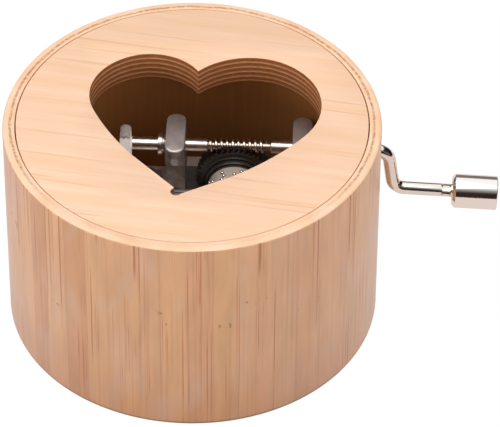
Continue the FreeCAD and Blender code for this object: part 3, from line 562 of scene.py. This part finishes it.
def make_veneer():
    """Sliced bamboo veneer, sanded and left nearly matt: pale, warm, with a fine grain all one way."""
    material, add, shader = new_material("pale_bamboo_veneer")
    broad = add("TexNoise", millimetres(add, (1 / 34, 1 / 2.6, 1), GRAIN_TURN), Scale=1.0, Detail=3.0)
    pales = [(0.3, "#F2C6A1"), (0.45, "#F5CAA7"), (0.55, "#F6CDAE"), (0.7, "#F9D4B3")]
    tone = add("ValToRGB", broad, stops=pales)
    # a few thin darker lines, 0.3 mm wide and some centimetres long
    lines = add("TexNoise", millimetres(add, (1 / 38, 1 / 0.9, 1), GRAIN_TURN), Scale=1.0, Detail=1.0)
    line = add("ValToRGB", lines, stops=[(0.64, 0.0), (0.74, 0.45)])
    tone = add("Mix", line, tone, "#DDA67E", **COVER)
    hairs = millimetres(add, (1 / 14, 3.2, 1), GRAIN_TURN)
    hair = add("TexNoise", hairs, Scale=1.0, Roughness=0.6)
    hair_shade = add("ValToRGB", hair, stops=[(0.3, 0.90), (0.6, 1.0)])
    tone = add("Mix", 0.4, tone, hair_shade, **TINT)
    relief = add("Bump", Height=hair, Distance=0.015 * MM)
    feed(shader, Base_Color=tone, Roughness=0.5, Specular_IOR_Level=0.3, Normal=relief)
    return material


def make_plies():
    """Sawn plywood: rough, dull bands, dark where a ply's fibres end and light where they run along."""
    material, add, shader = new_material("plywood_edge")
    place = millimetres(add)
    waver = add("TexNoise", place, Scale=0.25)
    height = add("SeparateXYZ", place).outputs["Z"]
    level = add("Math", height, LID_UNDERSIDE, **MINUS)
    level = add("Math", waver, 0.15, level, **TIMES_PLUS)
    ply = add("Math", level, PLY_COUNT / LID_THICKNESS, **TIMES)
    share = add("Math", ply, operation="FRACT")
    browns = [(0.0, "#D3945F"), (0.2, "#CB8C58"), (0.36, "#9C5A29"), (0.86, "#925226"), (1.0, "#D3945F")]
    band = add("ValToRGB", share, stops=browns)
    grit = add("TexNoise", millimetres(add, (0.5, 0.5, 4.0)), Scale=2.0, Detail=3.0)
    grit_shade = add("ValToRGB", grit, stops=[(0.38, 0.6), (0.6, 1.1)])
    tone = add("Mix", 0.7, band, grit_shade, **TINT)
    relief = add("Bump", Height=grit, Distance=0.05 * MM)
    feed(shader, Base_Color=tone, Roughness=0.7, Normal=relief)
    return material


veneer = make_veneer()
plies = make_plies()
print("ply thickness", LID_THICKNESS / PLY_COUNT / 2, "mm")

# %% [markdown]
# ## The rim and the inside
#
# The top of the wall shows the strips' end grain: a pale band with a broken brown line of pores along the
# glue joint of its two layers. The line is a ring at one radius, with noise to waver and to break it. The
# inside of the wall was bored out and never sanded or coated.

# %% The rim's finish
PORE_RADIUS_MM = 35.95
# the noise is always positive, so that the ring is drawn half a waver further out
PORE_WAVER_MM = 0.7


def make_end_grain():
    """Bamboo cut across its fibres and sanded: pale and matt, with the brown dots of cut pores."""
    material, add, shader = new_material("bamboo_end_grain")
    parts = add("SeparateXYZ", millimetres(add)).outputs
    flat = add("CombineXYZ", parts["X"], parts["Y"], 0.0)
    radius = add("VectorMath", flat, operation="LENGTH")
    waver = add("TexNoise", flat, Scale=0.22, Detail=3.0)
    shifted = add("Math", waver, PORE_WAVER_MM, radius, **TIMES_PLUS)
    off_line = add("Math", shifted, PORE_RADIUS_MM + PORE_WAVER_MM / 2, **MINUS)
    off_line = add("Math", off_line, operation="ABSOLUTE")
    line = add("ValToRGB", off_line, stops=[(0.1, 1.0), (0.38, 0.0)])
    pores = add("TexNoise", flat, Scale=1.1, Roughness=0.7)
    dots = add("ValToRGB", pores, stops=[(0.38, 0.25), (0.58, 0.8)])
    # sanding has worn the line away on one side of the ring
    forward = add("Math", parts["Y"], -CASE_RADIUS, **OVER)
    worn = add("ValToRGB", forward, stops=[(0.35, 1.0), (0.7, 0.1)])
    dots = add("Math", dots, worn, **TIMES)
    cloud = add("TexNoise", flat, Scale=0.12)
    tone = add("ValToRGB", cloud, stops=[(0.35, "#F3C4A0"), (0.5, "#F7CEAB"), (0.65, "#FBD6B8")])
    tone = add("Mix", add("Math", line, dots, **TIMES), tone, "#A86E3C", **COVER)
    relief = add("Bump", Height=pores, Distance=0.03 * MM)
    feed(shader, Base_Color=tone, Roughness=0.55, Specular_IOR_Level=0.3, Normal=relief)
    return material


def make_raw_inside():
    """Bored bamboo, left raw: dull and brown, so that the inside of the case stays dark to the eye."""
    material, add, shader = new_material("raw_dark_bamboo")
    fibre = add("TexNoise", millimetres(add, (1, 1, 0.05)), Scale=1.2)
    tone = add("ValToRGB", fibre, stops=[(0.35, "#B97E46"), (0.65, "#BE8249")])
    feed(shader, Base_Color=tone, Roughness=0.8, Specular_IOR_Level=0.15)
    return material


end_grain = make_end_grain()
raw_inside = make_raw_inside()
print("pores at", PORE_RADIUS_MM, "mm from the middle")

# %% [markdown]
# ## Case: wall, lid and floor
#
# The real wall is turned on a lathe, and so is this one: a profile spun round the upright axis, whose two
# rebates hold the lid and the floor. A tube cut from cylinders would need four booleans for the same
# shape. The hole for the shaft is drilled with a boolean, and a bevel rounds the rims.

# %% The wall
WALL_STEPS = 256
PORT_RADIUS = 2.5
WALL_EDGE = 0.12


def make_wall():
    ledge = CASE_HEIGHT - LID_THICKNESS
    outline = [(0, RIM_RADIUS), (0, CASE_RADIUS), (CASE_HEIGHT, CASE_RADIUS), (CASE_HEIGHT, RIM_RADIUS)]
    outline += [(ledge, RIM_RADIUS), (ledge, INNER_RADIUS)]
    outline += [(LID_THICKNESS, INNER_RADIUS), (LID_THICKNESS, RIM_RADIUS)]
    wall = turned("bamboo_wall", outline, axis="Z", steps=WALL_STEPS)

    def outer_rim(middle, way):
        spot = middle / MM
        level = min(abs(spot.z), abs(spot.z - CASE_HEIGHT)) < NEAR
        return level and Vector(spot[:2]).length > CASE_RADIUS - 0.1 and abs(way.z) < NEAR * MM

    round_edges(wall, outer_rim, RIM_ROUND, 5)
    drill(wall, PORT_RADIUS, (CASE_RADIUS, SHAFT_Y, SHAFT_Z))
    soften(wall, WALL_EDGE, 40)

    def is_rim(middle, normal):
        return normal.z > 0.6 and middle.z > CASE_HEIGHT - 0.5

    def is_inside(middle, normal):
        radius = Vector(middle[:2]).length
        return radius < RIM_RADIUS - 0.4 and LID_THICKNESS - 0.5 < middle.z < ledge + 0.5

    paint(wall, bamboo, (is_rim, end_grain), (is_inside, raw_inside))
    smooth(wall)
    finish_piece(wall, "case", "bamboo_wall", "side_wall")


make_wall()

# %% [markdown]
# The lid is a flush disc with a heart sawn out of it. The heart is a little uneven, as a drawn one is, so
# it is not mirrored from one half: its outline is a chain of round stretches, each given by the two
# corners that it joins and its radius, and the two flanks run straight into the point.

# %% The lid
HEART_TURN = Matrix.Rotation(radians(-3.8), 2)
HEART_SIZE = 42.5
# corners, clockwise from the notch, as shares of the heart's size
HEART_CORNERS = [(-0.013, 0.366), (0.332, 0.484), (0.529, -0.042), (0.211, -0.366), (-0.012, -0.510)]
HEART_CORNERS += [(-0.034, -0.458), (-0.255, -0.254), (-0.465, 0.032), (-0.341, 0.441)]
# the radius of the stretch that starts at each corner, as a share of the heart's size
HEART_RADII = [0.348, 0.343, 1.287, None, None, None, 1.348, 0.294, 0.264]
STRETCH_STEPS = 18
TIP_NICK = (-0.018, -0.487)
TIP_NICK_RADIUS = 1.1
LID_EDGE = 0.1


def on_heart(x, y):
    """A place given as shares of the heart's size, in mm."""
    return Vector((x * HEART_SIZE, y * HEART_SIZE))


def round_stretch(start, end, radius):
    """Points from start up to, but without, end, on the arc that bulges to the left of the way."""
    middle = (start + end) / 2
    half = (end - start) / 2
    side = Vector((half.y, -half.x)).normalized()
    centre = middle + side * sqrt(max(radius**2 - half.length**2, 0.0))
    first = atan2(start.y - centre.y, start.x - centre.x)
    last = atan2(end.y - centre.y, end.x - centre.x)
    sweep = (first - last) % (2 * pi)
    angles = [first - sweep * i / STRETCH_STEPS for i in range(STRETCH_STEPS)]
    return [centre + radius * Vector((cos(a), sin(a))) for a in angles]


def heart_outline():
    """The heart's outline in mm, clockwise from the notch, turned as it sits in the lid."""
    corners = [on_heart(*corner) for corner in HEART_CORNERS]
    points = []
    for start, end, radius in zip(corners, corners[1:] + corners[:1], HEART_RADII):
        points += [start] if radius is None else round_stretch(start, end, radius * HEART_SIZE)
    return [HEART_TURN @ point for point in points]


def make_heart_cutter():
    """A heart-shaped punch that reaches through the lid, 1 mm past either face."""
    low = (LID_UNDERSIDE - 1) * MM
    cutter = draw_profile("heart_punch", [(p.x * MM, p.y * MM, low) for p in heart_outline()])
    edit(cutter)
    select_whole()
    bpy.ops.mesh.edge_face_add()
    extrude((0, 0, (LID_THICKNESS + 2) * MM))
    leave_edit(outwards=True)
    return cutter


def make_lid():
    middle = (0, 0, LID_UNDERSIDE + LID_THICKNESS / 2)
    lid = make_rod("heart_lid", WALL_STEPS, LID_RADIUS, LID_THICKNESS, middle)
    # the disc has swollen a little across its grain
    lid.scale.y = 1 + LID_SWELL / LID_RADIUS
    settle(lid)
    combine(lid, make_heart_cutter())
    # the saw left a small round nick where it turned in the point
    nick = HEART_TURN @ on_heart(*TIP_NICK)
    drill(lid, TIP_NICK_RADIUS, (nick.x, nick.y, LID_UNDERSIDE), (0, 0, 0))
    soften(lid, LID_EDGE, 50)

    def is_cut(middle, normal):
        return abs(normal.z) < 0.5 and Vector(middle[:2]).length < LID_RADIUS - 1

    paint(lid, veneer, (is_cut, plies))
    smooth(lid)
    finish_piece(lid, "case", "plywood", "lid")


make_lid()

# %% [markdown]
# ## Metals and plastics
#
# Nickel plate is a thin bright coat on polished steel and keeps a trace of yellow. The frame is die-cast
# zinc, dull and grey, and its upper faces are painted paler as light. The wheel is black acetal, which has a
# soft shine, and the end stop is pale acetal. One function makes each kind of surface.

# %% Metals and plastics


def make_plated(name, colour, roughness, scratch_mm, dull=None, metallic=1.0):
    """Smooth metal with the faint lines of the buffing wheel; dull is (x in mm, roughness left of it)."""
    material, add, shader = new_material(name)
    base = roughness * 0.8
    if dull is not None:
        along = add("SeparateXYZ", millimetres(add)).outputs["X"]
        start, dull_roughness = dull
        base = add("MapRange", along, start, start + 2.0, dull_roughness - roughness + base, base)
    lines = add("TexNoise", millimetres(add, (0.6, 4, 4)), Scale=1.0 / scratch_mm)
    rough = add("Math", lines, roughness * 0.5, base, **TIMES_PLUS)
    feed(shader, Base_Color=colour, Metallic=metallic, Roughness=rough)
    return material


def make_cast(name, light, dark, roughness, grit_mm=0.04):
    """Cast zinc: cloudy grey with a fine grit, between a light and a dark grey."""
    material, add, shader = new_material(name)
    cloud = add("TexNoise", millimetres(add), Scale=0.6, Detail=4.0)
    tone = add("ValToRGB", cloud, stops=[(0.35, dark), (0.65, light)])
    grit = add("TexNoise", millimetres(add), Scale=4.0)
    relief = add("Bump", Height=grit, Distance=grit_mm * MM)
    feed(shader, Base_Color=tone, Metallic=0.3, Roughness=roughness, Normal=relief)
    return material


def make_zinc_painted_light_and_shade():
    """The top of the frame's rear wall: painted light between the pillars, and painted shade at its left
    end.
    """
    material, add, shader = new_material("zinc_painted_light_and_shade")
    along = add("SeparateXYZ", millimetres(add)).outputs["X"]
    place = add("MapRange", along, From_Min=-6.0, From_Max=-5.0)
    # painted shade left of x = -6 mm, painted light to the right of it
    tone = add("ValToRGB", place, stops=[(0.0, "#786C66"), (1.0, "#F8EEE7")])
    feed(shader, Base_Color=tone, Metallic=0.3, Roughness=0.4)
    return material


def make_plastic(name, colour, roughness, mottle):
    """Moulded acetal, with the slightly uneven sheen that the mould leaves on it."""
    material, add, shader = new_material(name)
    skin = add("TexNoise", millimetres(add), Scale=1.5)
    rough = add("Math", skin, mottle, roughness, **TIMES_PLUS)
    relief = add("Bump", Height=skin, Distance=0.02 * MM)
    feed(shader, Base_Color=colour, Roughness=rough, Normal=relief)
    return material, add, shader


def make_pale_plastic():
    """Pale acetal, grey at its foot and its top, with a weak painted glow on its middle as light."""
    material, add, shader = make_plastic("pale_acetal", "#FFF9F4", 0.4, 0.1)
    cloud = add("TexNoise", millimetres(add), Scale=1.6)
    height = add("SeparateXYZ", millimetres(add)).outputs["Z"]
    level = add("Math", cloud, 2.4, height, **TIMES_PLUS)
    part = add("MapRange", level, From_Min=17.0, From_Max=31.2)
    greys = [(0.1, "#8E817A"), (0.3, "#FFF9F4"), (0.88, "#FFF9F4"), (0.916, "#D2C8C3"), (1.0, "#B4A9A3")]
    # painted light: the middle of the stop glows a little
    painted_glow = add("ValToRGB", part, stops=[(0.1, 0.0), (0.3, 0.3), (0.88, 0.3), (0.922, 0.03)])
    feed(shader, Base_Color=add("ValToRGB", part, stops=greys))
    feed(shader, Emission_Color="#FFF3EE", Emission_Strength=painted_glow)
    return material


# polished, then plated: near mirrors, and the wire is duller inside the case, where no hand rubs it
nickel_wire = make_plated("nickel_plated_wire", "#F3EDE4", 0.12, 0.6, dull=(35.0, 0.28))
nickel_knob = make_plated("nickel_plated_knob", "#FAF5EF", 0.10, 0.5)
# barrel-plated: soft and milky on the tube and bright on the tips of its pins; the pins' flanks are
# painted brown as the shade round each pin
nickel_drum = make_plated("nickel_plated_tube", "#FFEEDC", 0.3, 0.4, metallic=0.36)
nickel_pins = make_plated("nickel_plated_pins", "#FFFAF4", 0.16, 0.4)
pin_flank_shade = make_plated("painted_shade_pin_flanks", "#7A6452", 0.35, 0.4)
# drawn through a die and left bare: plain steel with a satin shine
bright_steel = make_plated("bright_drawn_steel", "#CFCBC6", 0.32, 0.4)
# grease dulls the grooves of the worm, and they are also painted darker as their shade; the near-black
# patch over its lower front is a painted reflection of the black wheel
groove_grease_and_shade = make_plated("groove_grease_and_shade", "#C4B5A6", 0.28, 0.4)
worm_painted_reflection = make_plated("worm_painted_reflection", "#3A3029", 0.42, 0.4, metallic=0.15)
# ground flat with a coarse wheel: pale and nearly matt
comb_steel = make_plated("ground_spring_steel", "#D8D2CC", 0.5, 0.3)
# the zinc is dark and dull on its sides; paler copies of it are painted light on the upper faces, a
# near-white one is a painted glint along the heads' front edges, and one is painted light and shade on the
# rear wall's top
cast_zinc = make_cast("die_cast_zinc", "#A99C95", "#72675F", 0.55, 0.1)
zinc_painted_lit_faces = make_cast("zinc_painted_lit_faces", "#C2B6B2", "#B0A49F", 0.55)
zinc_painted_glint = make_cast("zinc_painted_glint", "#FFF8F2", "#E6DAD2", 0.4)
zinc_painted_light_and_shade = make_zinc_painted_light_and_shade()
# moulded in a polished mould: black with a soft, clear highlight
black_acetal = make_plastic("black_acetal", "#423B37", 0.26, 0.08)[0]
pale_acetal = make_pale_plastic()
print("metals and plastics ready")

# %% [markdown]
# ## The movement
#
# The frame, the wheel, the comb and the drum's end pieces already have their true shapes in the packed
# model, and modelling them afresh would only risk their fit. Each is copied, its triangles are joined to
# whole faces, and its edges are broken a little, because a real edge is never sharp and catches the light.

# %% The movement's fixed and turning pieces
DRUM_AXIS = Vector((7.9, 0, 17.1131))
# each step of the wheel's face: its radius and its place ahead of the shaft
WHEEL_STEPS = [(6.5, -0.95), (5.9, -1.75)]
WHEEL_STEP_ROUND = 0.28
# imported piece, name, body, slot, finish, and the width of the broken edges in mm
COPIES = [
    ("movement_frame", "cast_frame", "case", "cast_frame", cast_zinc, 0.18),
    ("comb", "steel_comb", "case", "comb_steel", comb_steel, 0.04),
    ("comb_base", "comb_bar", "case", "comb_steel", comb_steel, 0.12),
    ("end_stop", "shaft_stop", "case", "stop_plastic", pale_acetal, 0.3),
    ("drum_bracket", "front_bracket", "case", "bracket_steel", bright_steel, 0.1),
    ("floor_disc", "plywood_floor", "case", "plywood", raw_inside, 0.15),
    ("worm_wheel", "toothed_wheel", "drum", "wheel_plastic", black_acetal, 0.04),
    ("drum_cap", "drum_front_cap", "drum", "plated_drum", bright_steel, 0.06),
    ("drum_arbor", "arbor", "drum", "bright_steel", bright_steel, 0.0),
    ("shaft_collar", "flanged_collar", "crank", "plated_wire", nickel_wire, 0.06),
    ("knob_rivet", "rivet_washer", "crank", "plated_wire", bright_steel, 0.06),
    ("frame_screws", "long_screws", "case", "screw_steel", bright_steel, 0.06),
    ("comb_screws", "comb_screw_pair", "case", "screw_steel", bright_steel, 0.05),
    ("stop_screw", "short_screw", "case", "screw_steel", bright_steel, 0.04),
    ("bracket_screws", "bracket_screw_pair", "case", "screw_steel", bright_steel, 0.04),
]
# the two pillars of the frame: their middles along X, and their heads
PILLARS = (-4.3, 21.6)
HEAD_HALVES = (2.0, 6.0)
HEAD_FOOT = 25.4
HEAD_TOP = 29.2
HEAD_ROUND = 1.98
HEAD_CROWN = 0.35
BORE_RADIUS = 1.46
REAR_WALL_TOP = 17.5


def round_wheel_steps(wheel):
    """Rounds the two turned steps on the wheel's face, so that each draws a line of light."""

    def on_step(middle, way):
        spot = middle / MM
        radius = hypot(spot.x - DRUM_AXIS.x, spot.z - DRUM_AXIS.z)
        across = abs(way.y) < 0.001 * MM
        return across and any(
            abs(radius - step) < 0.12 and abs(spot.y - SHAFT_Y - face) < 0.05 for step, face in WHEEL_STEPS
        )

    round_edges(wheel, on_step, WHEEL_STEP_ROUND, 3)


def make_block(low, high):
    """A plain block between two corners in mm, to be cut or joined."""
    low, high = Vector(low), Vector(high)
    block = begin("block", bpy.ops.mesh.primitive_cube_add, size=1, location=(low + high) / 2 * MM)
    block.scale = (high - low) * MM
    settle(block)
    return block


def is_painted_lit(middle, normal):
    """True for the upper faces, and for the front of the rear wall, which are painted as lit."""
    return normal.z > 0.35 or (normal.y < -0.5 and middle.y > SHAFT_Y + 1.5)


def is_painted_glint(middle, normal):
    """True for the front of the broken edge around a pillar's head, which carries a painted glint."""
    return middle.z > HEAD_TOP - 0.37 and 0.3 < normal.z < 0.95 and normal.y < -0.2


def is_painted_rear_top(middle, normal):
    """True for the top of the frame's rear wall, behind the wheel."""
    return abs(middle.z - REAR_WALL_TOP) < 0.3 and middle.y > SHAFT_Y + 1.4 and normal.z > 0.9


def round_heads(cast):
    """Gives both pillars heads with round ends and a worn crown."""
    combine(cast, make_block((-30, 0, HEAD_FOOT + 0.02), (30, 40, HEAD_TOP + 5)))
    half_x, half_y = HEAD_HALVES
    for middle in PILLARS:
        low = (middle - half_x, SHAFT_Y - half_y, HEAD_FOOT)
        high = (middle + half_x, SHAFT_Y + half_y, HEAD_TOP)
        head = make_block(low, high)
        round_edges(head, lambda spot, way: abs(way.z) > 1 * MM, HEAD_ROUND, 12)
        round_edges(head, lambda spot, way: spot.z > (HEAD_TOP - NEAR) * MM, HEAD_CROWN, 2)
        drill(head, BORE_RADIUS, (middle, SHAFT_Y, SHAFT_Z))
        combine(cast, head, "UNION")


# painted light: the frame's upper faces, the front and top of its rear wall and its heads' front edges
# are paler than its sides, which keep the cast zinc
FRAME_PAINTED_LIGHT = ((is_painted_glint, zinc_painted_glint), (is_painted_rear_top, zinc_painted_light_and_shade), (is_painted_lit, zinc_painted_lit_faces))
SHAPED = {"worm_wheel": round_wheel_steps, "movement_frame": round_heads}
for node, name, body, slot, finish, bevel in COPIES:
    copy = fine_copy(node, name, bevel)
    if node in SHAPED:
        SHAPED[node](copy)
        smooth(copy)
    paint(copy, finish, *(FRAME_PAINTED_LIGHT if node == "movement_frame" else ()))
    finish_piece(copy, body, slot, node)

# %% [markdown]
# ## The drum
#
# The drum is a thin plated tube, and each of its pins is a short piece of wire with a rounded tip, pressed
# into a hole. The pins lie on one track for each tooth of the comb. The real ones are thinner, and at that
# width they don't show, so these are 0.8 mm thick. One pin is modelled, and the others are its copies.

# %% The drum and its pins
DRUM_REAR = 14.45
DRUM_RADIUS = 5.5
DRUM_WALL = 0.6
DRUM_LENGTH = 20.4
PIN_RADIUS = 0.4
PIN_SIDES = 14
PIN_TIP = 5.9
FIRST_TRACK = 1.325
TRACK_PITCH = 1.05
# turn in degrees and track
PINS_BESIDE_WHEEL = [(75, 0), (117, 0), (90, 1), (113, 1), (143, 1), (158, 0)]
TUNE_BEATS = 32
TUNE_START = 12.0
TUNE_SWEEP = 336.0
TUNE_TRACKS = 16


def pin_places():
    """(turn in degrees, track) of every pin: two tracks beside the wheel, then one short tune."""
    places = list(PINS_BESIDE_WHEEL)
    for beat in range(TUNE_BEATS):
        turn = TUNE_START + beat * TUNE_SWEEP / TUNE_BEATS
        note = 5 * beat + beat * beat // 7
        places.append((turn, 2 + note % TUNE_TRACKS))
        if beat % 2 == 0:
            # every second beat sounds two notes
            places.append((turn, 2 + (note + TUNE_TRACKS // 2) % TUNE_TRACKS))
    return places


def make_pin():
    """One upright pin with a domed tip, its foot inside the tube's wall."""
    foot = DRUM_RADIUS - DRUM_WALL / 2
    pin = make_rod("pin", PIN_SIDES, PIN_RADIUS, PIN_TIP - foot, (0, 0, (PIN_TIP + foot) / 2))
    round_edges(pin, lambda middle, way: middle.z > (PIN_TIP - NEAR) * MM, PIN_RADIUS * 0.95, 5)
    return pin


def is_tip(middle, normal):
    """True for the domed end of a pin, which points away from the drum's axis."""
    way_out = Vector((middle.x - DRUM_AXIS.x, 0, middle.z - DRUM_AXIS.z)).normalized()
    return way_out.dot(normal) > 0.3


def make_drum():
    front, bore = DRUM_REAR - DRUM_LENGTH, DRUM_RADIUS - DRUM_WALL
    outline = [(front, bore), (front, DRUM_RADIUS), (DRUM_REAR, DRUM_RADIUS), (DRUM_REAR, bore)]
    tube = turned("drum_tube", outline, axis="Y")
    tube.location = DRUM_AXIS * MM
    settle(tube)
    soften(tube, 0.08, 40)
    smooth(tube)
    first = make_pin()
    pins = []
    for turn, track in pin_places():
        pin = first.copy()
        pin.data = first.data.copy()
        bpy.context.scene.collection.objects.link(pin)
        pin.rotation_euler = (0, radians(90 - turn), 0)
        along = DRUM_REAR - FIRST_TRACK - TRACK_PITCH * track
        pin.location = (DRUM_AXIS + Vector((0, along, 0))) * MM
        pins.append(pin)
    bpy.data.objects.remove(first)
    choose(pins[0])
    for pin in pins:
        pin.select_set(True)
    bpy.ops.object.join()
    pins[0].name = "drum_pins"
    settle(pins[0])
    smooth(pins[0])
    paint(tube, nickel_drum)
    # the pins' flanks carry painted shade, and their tips are bright plate
    paint(pins[0], pin_flank_shade, (is_tip, nickel_pins))
    finish_piece(tube, "drum", "plated_drum", "pinned_drum")
    finish_piece(pins[0], "drum", "plated_drum")


make_drum()

# %% [markdown]
# ## The crank
#
# The crank is one length of drawn wire, bent cold. A disc the size of its section is extruded along the
# shaft, narrowed where the worm sits, swung round its two bends with the spin tool, and squeezed a little
# ahead of the knob, so that the knob cannot slide inwards. A curve with a bevel would bend as well, but it
# could neither narrow nor flatten on the way.

# %% The bent wire
CRANK_REACH = 39.1
CRANK_DROP = 10.05
CRANK_SLANT = 1.4
ELBOW_RADIUS = 3.2
WRIST_RADIUS = 2.7
ROD_SPLAY = radians(2.3)
SHAFT_START = -13.4
WIRE_CHAMFER = 0.25
WIRE_SIDES = 48
BEND_STEPS = 20
NECK_RADIUS = 0.88
NECK = (2.4, 15.0)
NECK_SLOPE = 0.25
KNOB_START = 12.1
KNOB_LENGTH = 9.25
ROD_LENGTH = KNOB_START + KNOB_LENGTH - 0.7
PINCH = (9.8, 11.85)
PINCH_SLOPE = 0.35
PINCH_WIDE = 1.6 / 1.35
PINCH_FLAT = 0.8


def resize_end(centre, across, upward):
    bpy.ops.transform.resize(value=(1, across, upward), center_override=centre * MM)


def bend(corner, way_in, way_out, radius):
    """Swings the wire's end round a corner of its path."""
    turn = way_in.angle(way_out)
    side = (way_out - way_in).normalized()
    centre = corner + side * radius / cos(turn / 2)
    axis = way_out.cross(way_in).normalized()
    bpy.ops.mesh.spin(steps=BEND_STEPS, angle=turn, center=centre * MM, axis=axis)


def setback(way_in, way_out, radius):
    """How far from its corner a bend starts."""
    return radius * tan(way_in.angle(way_out) / 2)


def make_wire():
    shaft_way = Vector((1, 0, 0))
    leg_way = Vector((CRANK_SLANT, 0, -CRANK_DROP)).normalized()
    rod_way = Vector((cos(ROD_SPLAY), 0, -sin(ROD_SPLAY)))
    start = Vector((SHAFT_START, SHAFT_Y, SHAFT_Z))
    elbow = Vector((CRANK_REACH, SHAFT_Y, SHAFT_Z))
    wrist = elbow + Vector((CRANK_SLANT, 0, -CRANK_DROP))
    tip_radius = WIRE_RADIUS - WIRE_CHAMFER
    disc = {"vertices": WIRE_SIDES, "radius": tip_radius * MM, "fill_type": "NGON"}
    place = {"location": start * MM, "rotation": (0, radians(90), 0)}
    wire = begin("crank_wire", bpy.ops.mesh.primitive_circle_add, **disc, **place)
    settle(wire)
    edit(wire)
    bpy.ops.mesh.select_mode(type="FACE")
    select_whole()
    here = SHAFT_START
    necked = NECK_RADIUS / WIRE_RADIUS
    # where the wire's end is extruded to, and by how much it is resized there
    stations = [
        (SHAFT_START + WIRE_CHAMFER, WIRE_RADIUS / tip_radius),
        (NECK[0] - NECK_SLOPE, 1),
        (NECK[0], necked),
        (NECK[1], 1),
        (NECK[1] + NECK_SLOPE, 1 / necked),
        (CRANK_REACH - setback(shaft_way, leg_way, ELBOW_RADIUS), 1),
    ]
    for station, factor in stations:
        extrude(shaft_way * (station - here) * MM)
        here = station
        resize_end(Vector((here, SHAFT_Y, SHAFT_Z)), factor, factor)
    bend(elbow, shaft_way, leg_way, ELBOW_RADIUS)
    leg = (wrist - elbow).length
    leg -= setback(shaft_way, leg_way, ELBOW_RADIUS) + setback(leg_way, rod_way, WRIST_RADIUS)
    extrude(leg_way * leg * MM)
    bend(wrist, leg_way, rod_way, WRIST_RADIUS)
    here = setback(leg_way, rod_way, WRIST_RADIUS)
    rod_stations = [
        (PINCH[0], 1, 1),
        (PINCH[0] + PINCH_SLOPE, PINCH_WIDE, PINCH_FLAT),
        (PINCH[1] - PINCH_SLOPE, 1, 1),
        (PINCH[1], 1 / PINCH_WIDE, 1 / PINCH_FLAT),
        (ROD_LENGTH, 1, 1),
    ]
    for station, across, upward in rod_stations:
        extrude(rod_way * (station - here) * MM)
        here = station
        resize_end(wrist + rod_way * here, across, upward)
    leave_edit(outwards=True)
    return wire


wire = make_wire()
print("wire closed:", is_closed(wire))

# %% [markdown]
# The real worm is rolled into the wire. Here it is a ridge with a trapezoid section that winds ten times
# round the neck: the Screw modifier sweeps it, which keeps its lead exact, and a union joins it to the
# wire. Grease lies in its grooves, which are painted darker as shade, and a painted reflection of the black
# wheel darkens the worm's lower front.

# %% The worm
WORM_PITCH = 1.15
WORM_TURNS = 10
WORM_STEPS = 48
WORM_FIRST = 2.725
WORM_SECTION = [(-0.368, 0.82), (0.368, 0.82), (0.146, 1.43), (-0.146, 1.43)]
WORM_CREST = 1.43
# the painted reflection: the way across it as (y, z), where it ends, and the rise and half width of that
# end's arc
REFLECTION_WAY = (0.64, 0.77)
REFLECTION_LEVEL = -0.05
REFLECTION_RISE = 1.4
REFLECTION_HALF = 5.2


def make_thread():
    corners = [(WORM_FIRST + along, 0, radius) for along, radius in WORM_SECTION]
    thread = draw_profile("worm_thread", [Vector(c) * MM for c in corners])
    fine = {"steps": WORM_STEPS, "render_steps": WORM_STEPS}
    lead = {"screw_offset": WORM_PITCH * MM, "iterations": WORM_TURNS}
    use_modifier(thread, "SCREW", axis="X", angle=2 * pi, **fine, **lead)
    edit(thread)
    select_whole()
    bpy.ops.mesh.remove_doubles(threshold=0.0005 * MM)
    select_whole()
    bpy.ops.mesh.fill_holes(sides=4)
    leave_edit(outwards=True)
    thread.location = (0, SHAFT_Y * MM, SHAFT_Z * MM)
    settle(thread)
    return thread


thread = make_thread()
print("thread closed:", is_closed(thread))
combine(wire, thread, "UNION")
smooth(wire, ROUND_SMOOTH_LIMIT)
finish_piece(wire, "crank", "plated_wire", "crank_shaft")


def in_groove(middle, normal):
    """True between the ridges of the worm, below their crests."""
    radius = hypot(middle.y - SHAFT_Y, middle.z - SHAFT_Z)
    return NECK[0] < middle.x < NECK[1] and radius < WORM_CREST - 0.1


def in_painted_reflection(middle, normal):
    """True for the part of the worm that carries the painted reflection of the wheel, an arc like the
    wheel's.
    """
    across = (middle.z - SHAFT_Z) * REFLECTION_WAY[1] + (middle.y - SHAFT_Y) * REFLECTION_WAY[0]
    arc = REFLECTION_RISE * ((middle.x - DRUM_AXIS.x) / REFLECTION_HALF) ** 2
    return NECK[0] < middle.x < NECK[1] and across < REFLECTION_LEVEL - arc and normal.y < 0.3


# a painted reflection of the black wheel on the worm's lower front, and painted shade with grease in its
# grooves
paint(wire, nickel_wire, (in_painted_reflection, worm_painted_reflection), (in_groove, groove_grease_and_shade))

# %% [markdown]
# The knob is a plain sleeve, turned and plated. Its outer end is hollowed for the riveted washer. A
# profile spun round the rod gives both chamfers and the hollow at once, as the lathe does.

# %% The knob
KNOB_RADIUS = 3.5
KNOB_BORE = WIRE_RADIUS + 0.08
KNOB_STEPS = 128
KNOB_CHAMFER = 0.6
KNOB_EDGE = 0.15
HOLLOW_RADIUS = 2.3
HOLLOW_DEPTH = 1.0


def make_knob():
    end = KNOB_START + KNOB_LENGTH
    outline = [(KNOB_START, KNOB_BORE), (KNOB_START, KNOB_RADIUS - KNOB_CHAMFER)]
    outline += [(KNOB_START + KNOB_CHAMFER, KNOB_RADIUS), (end - KNOB_EDGE, KNOB_RADIUS)]
    outline += [(end, KNOB_RADIUS - KNOB_EDGE), (end, HOLLOW_RADIUS)]
    outline += [(end - HOLLOW_DEPTH, HOLLOW_RADIUS), (end - HOLLOW_DEPTH, KNOB_BORE)]
    knob = turned("turned_knob", outline, steps=KNOB_STEPS)
    knob.rotation_euler = (0, ROD_SPLAY, 0)
    knob.location = Vector((CRANK_REACH + CRANK_SLANT, SHAFT_Y, SHAFT_Z - CRANK_DROP)) * MM
    settle(knob)
    soften(knob, 0.06)
    smooth(knob, ROUND_SMOOTH_LIMIT)
    paint(knob, nickel_knob)
    finish_piece(knob, "knob", "plated_knob", "crank_knob")


make_knob()
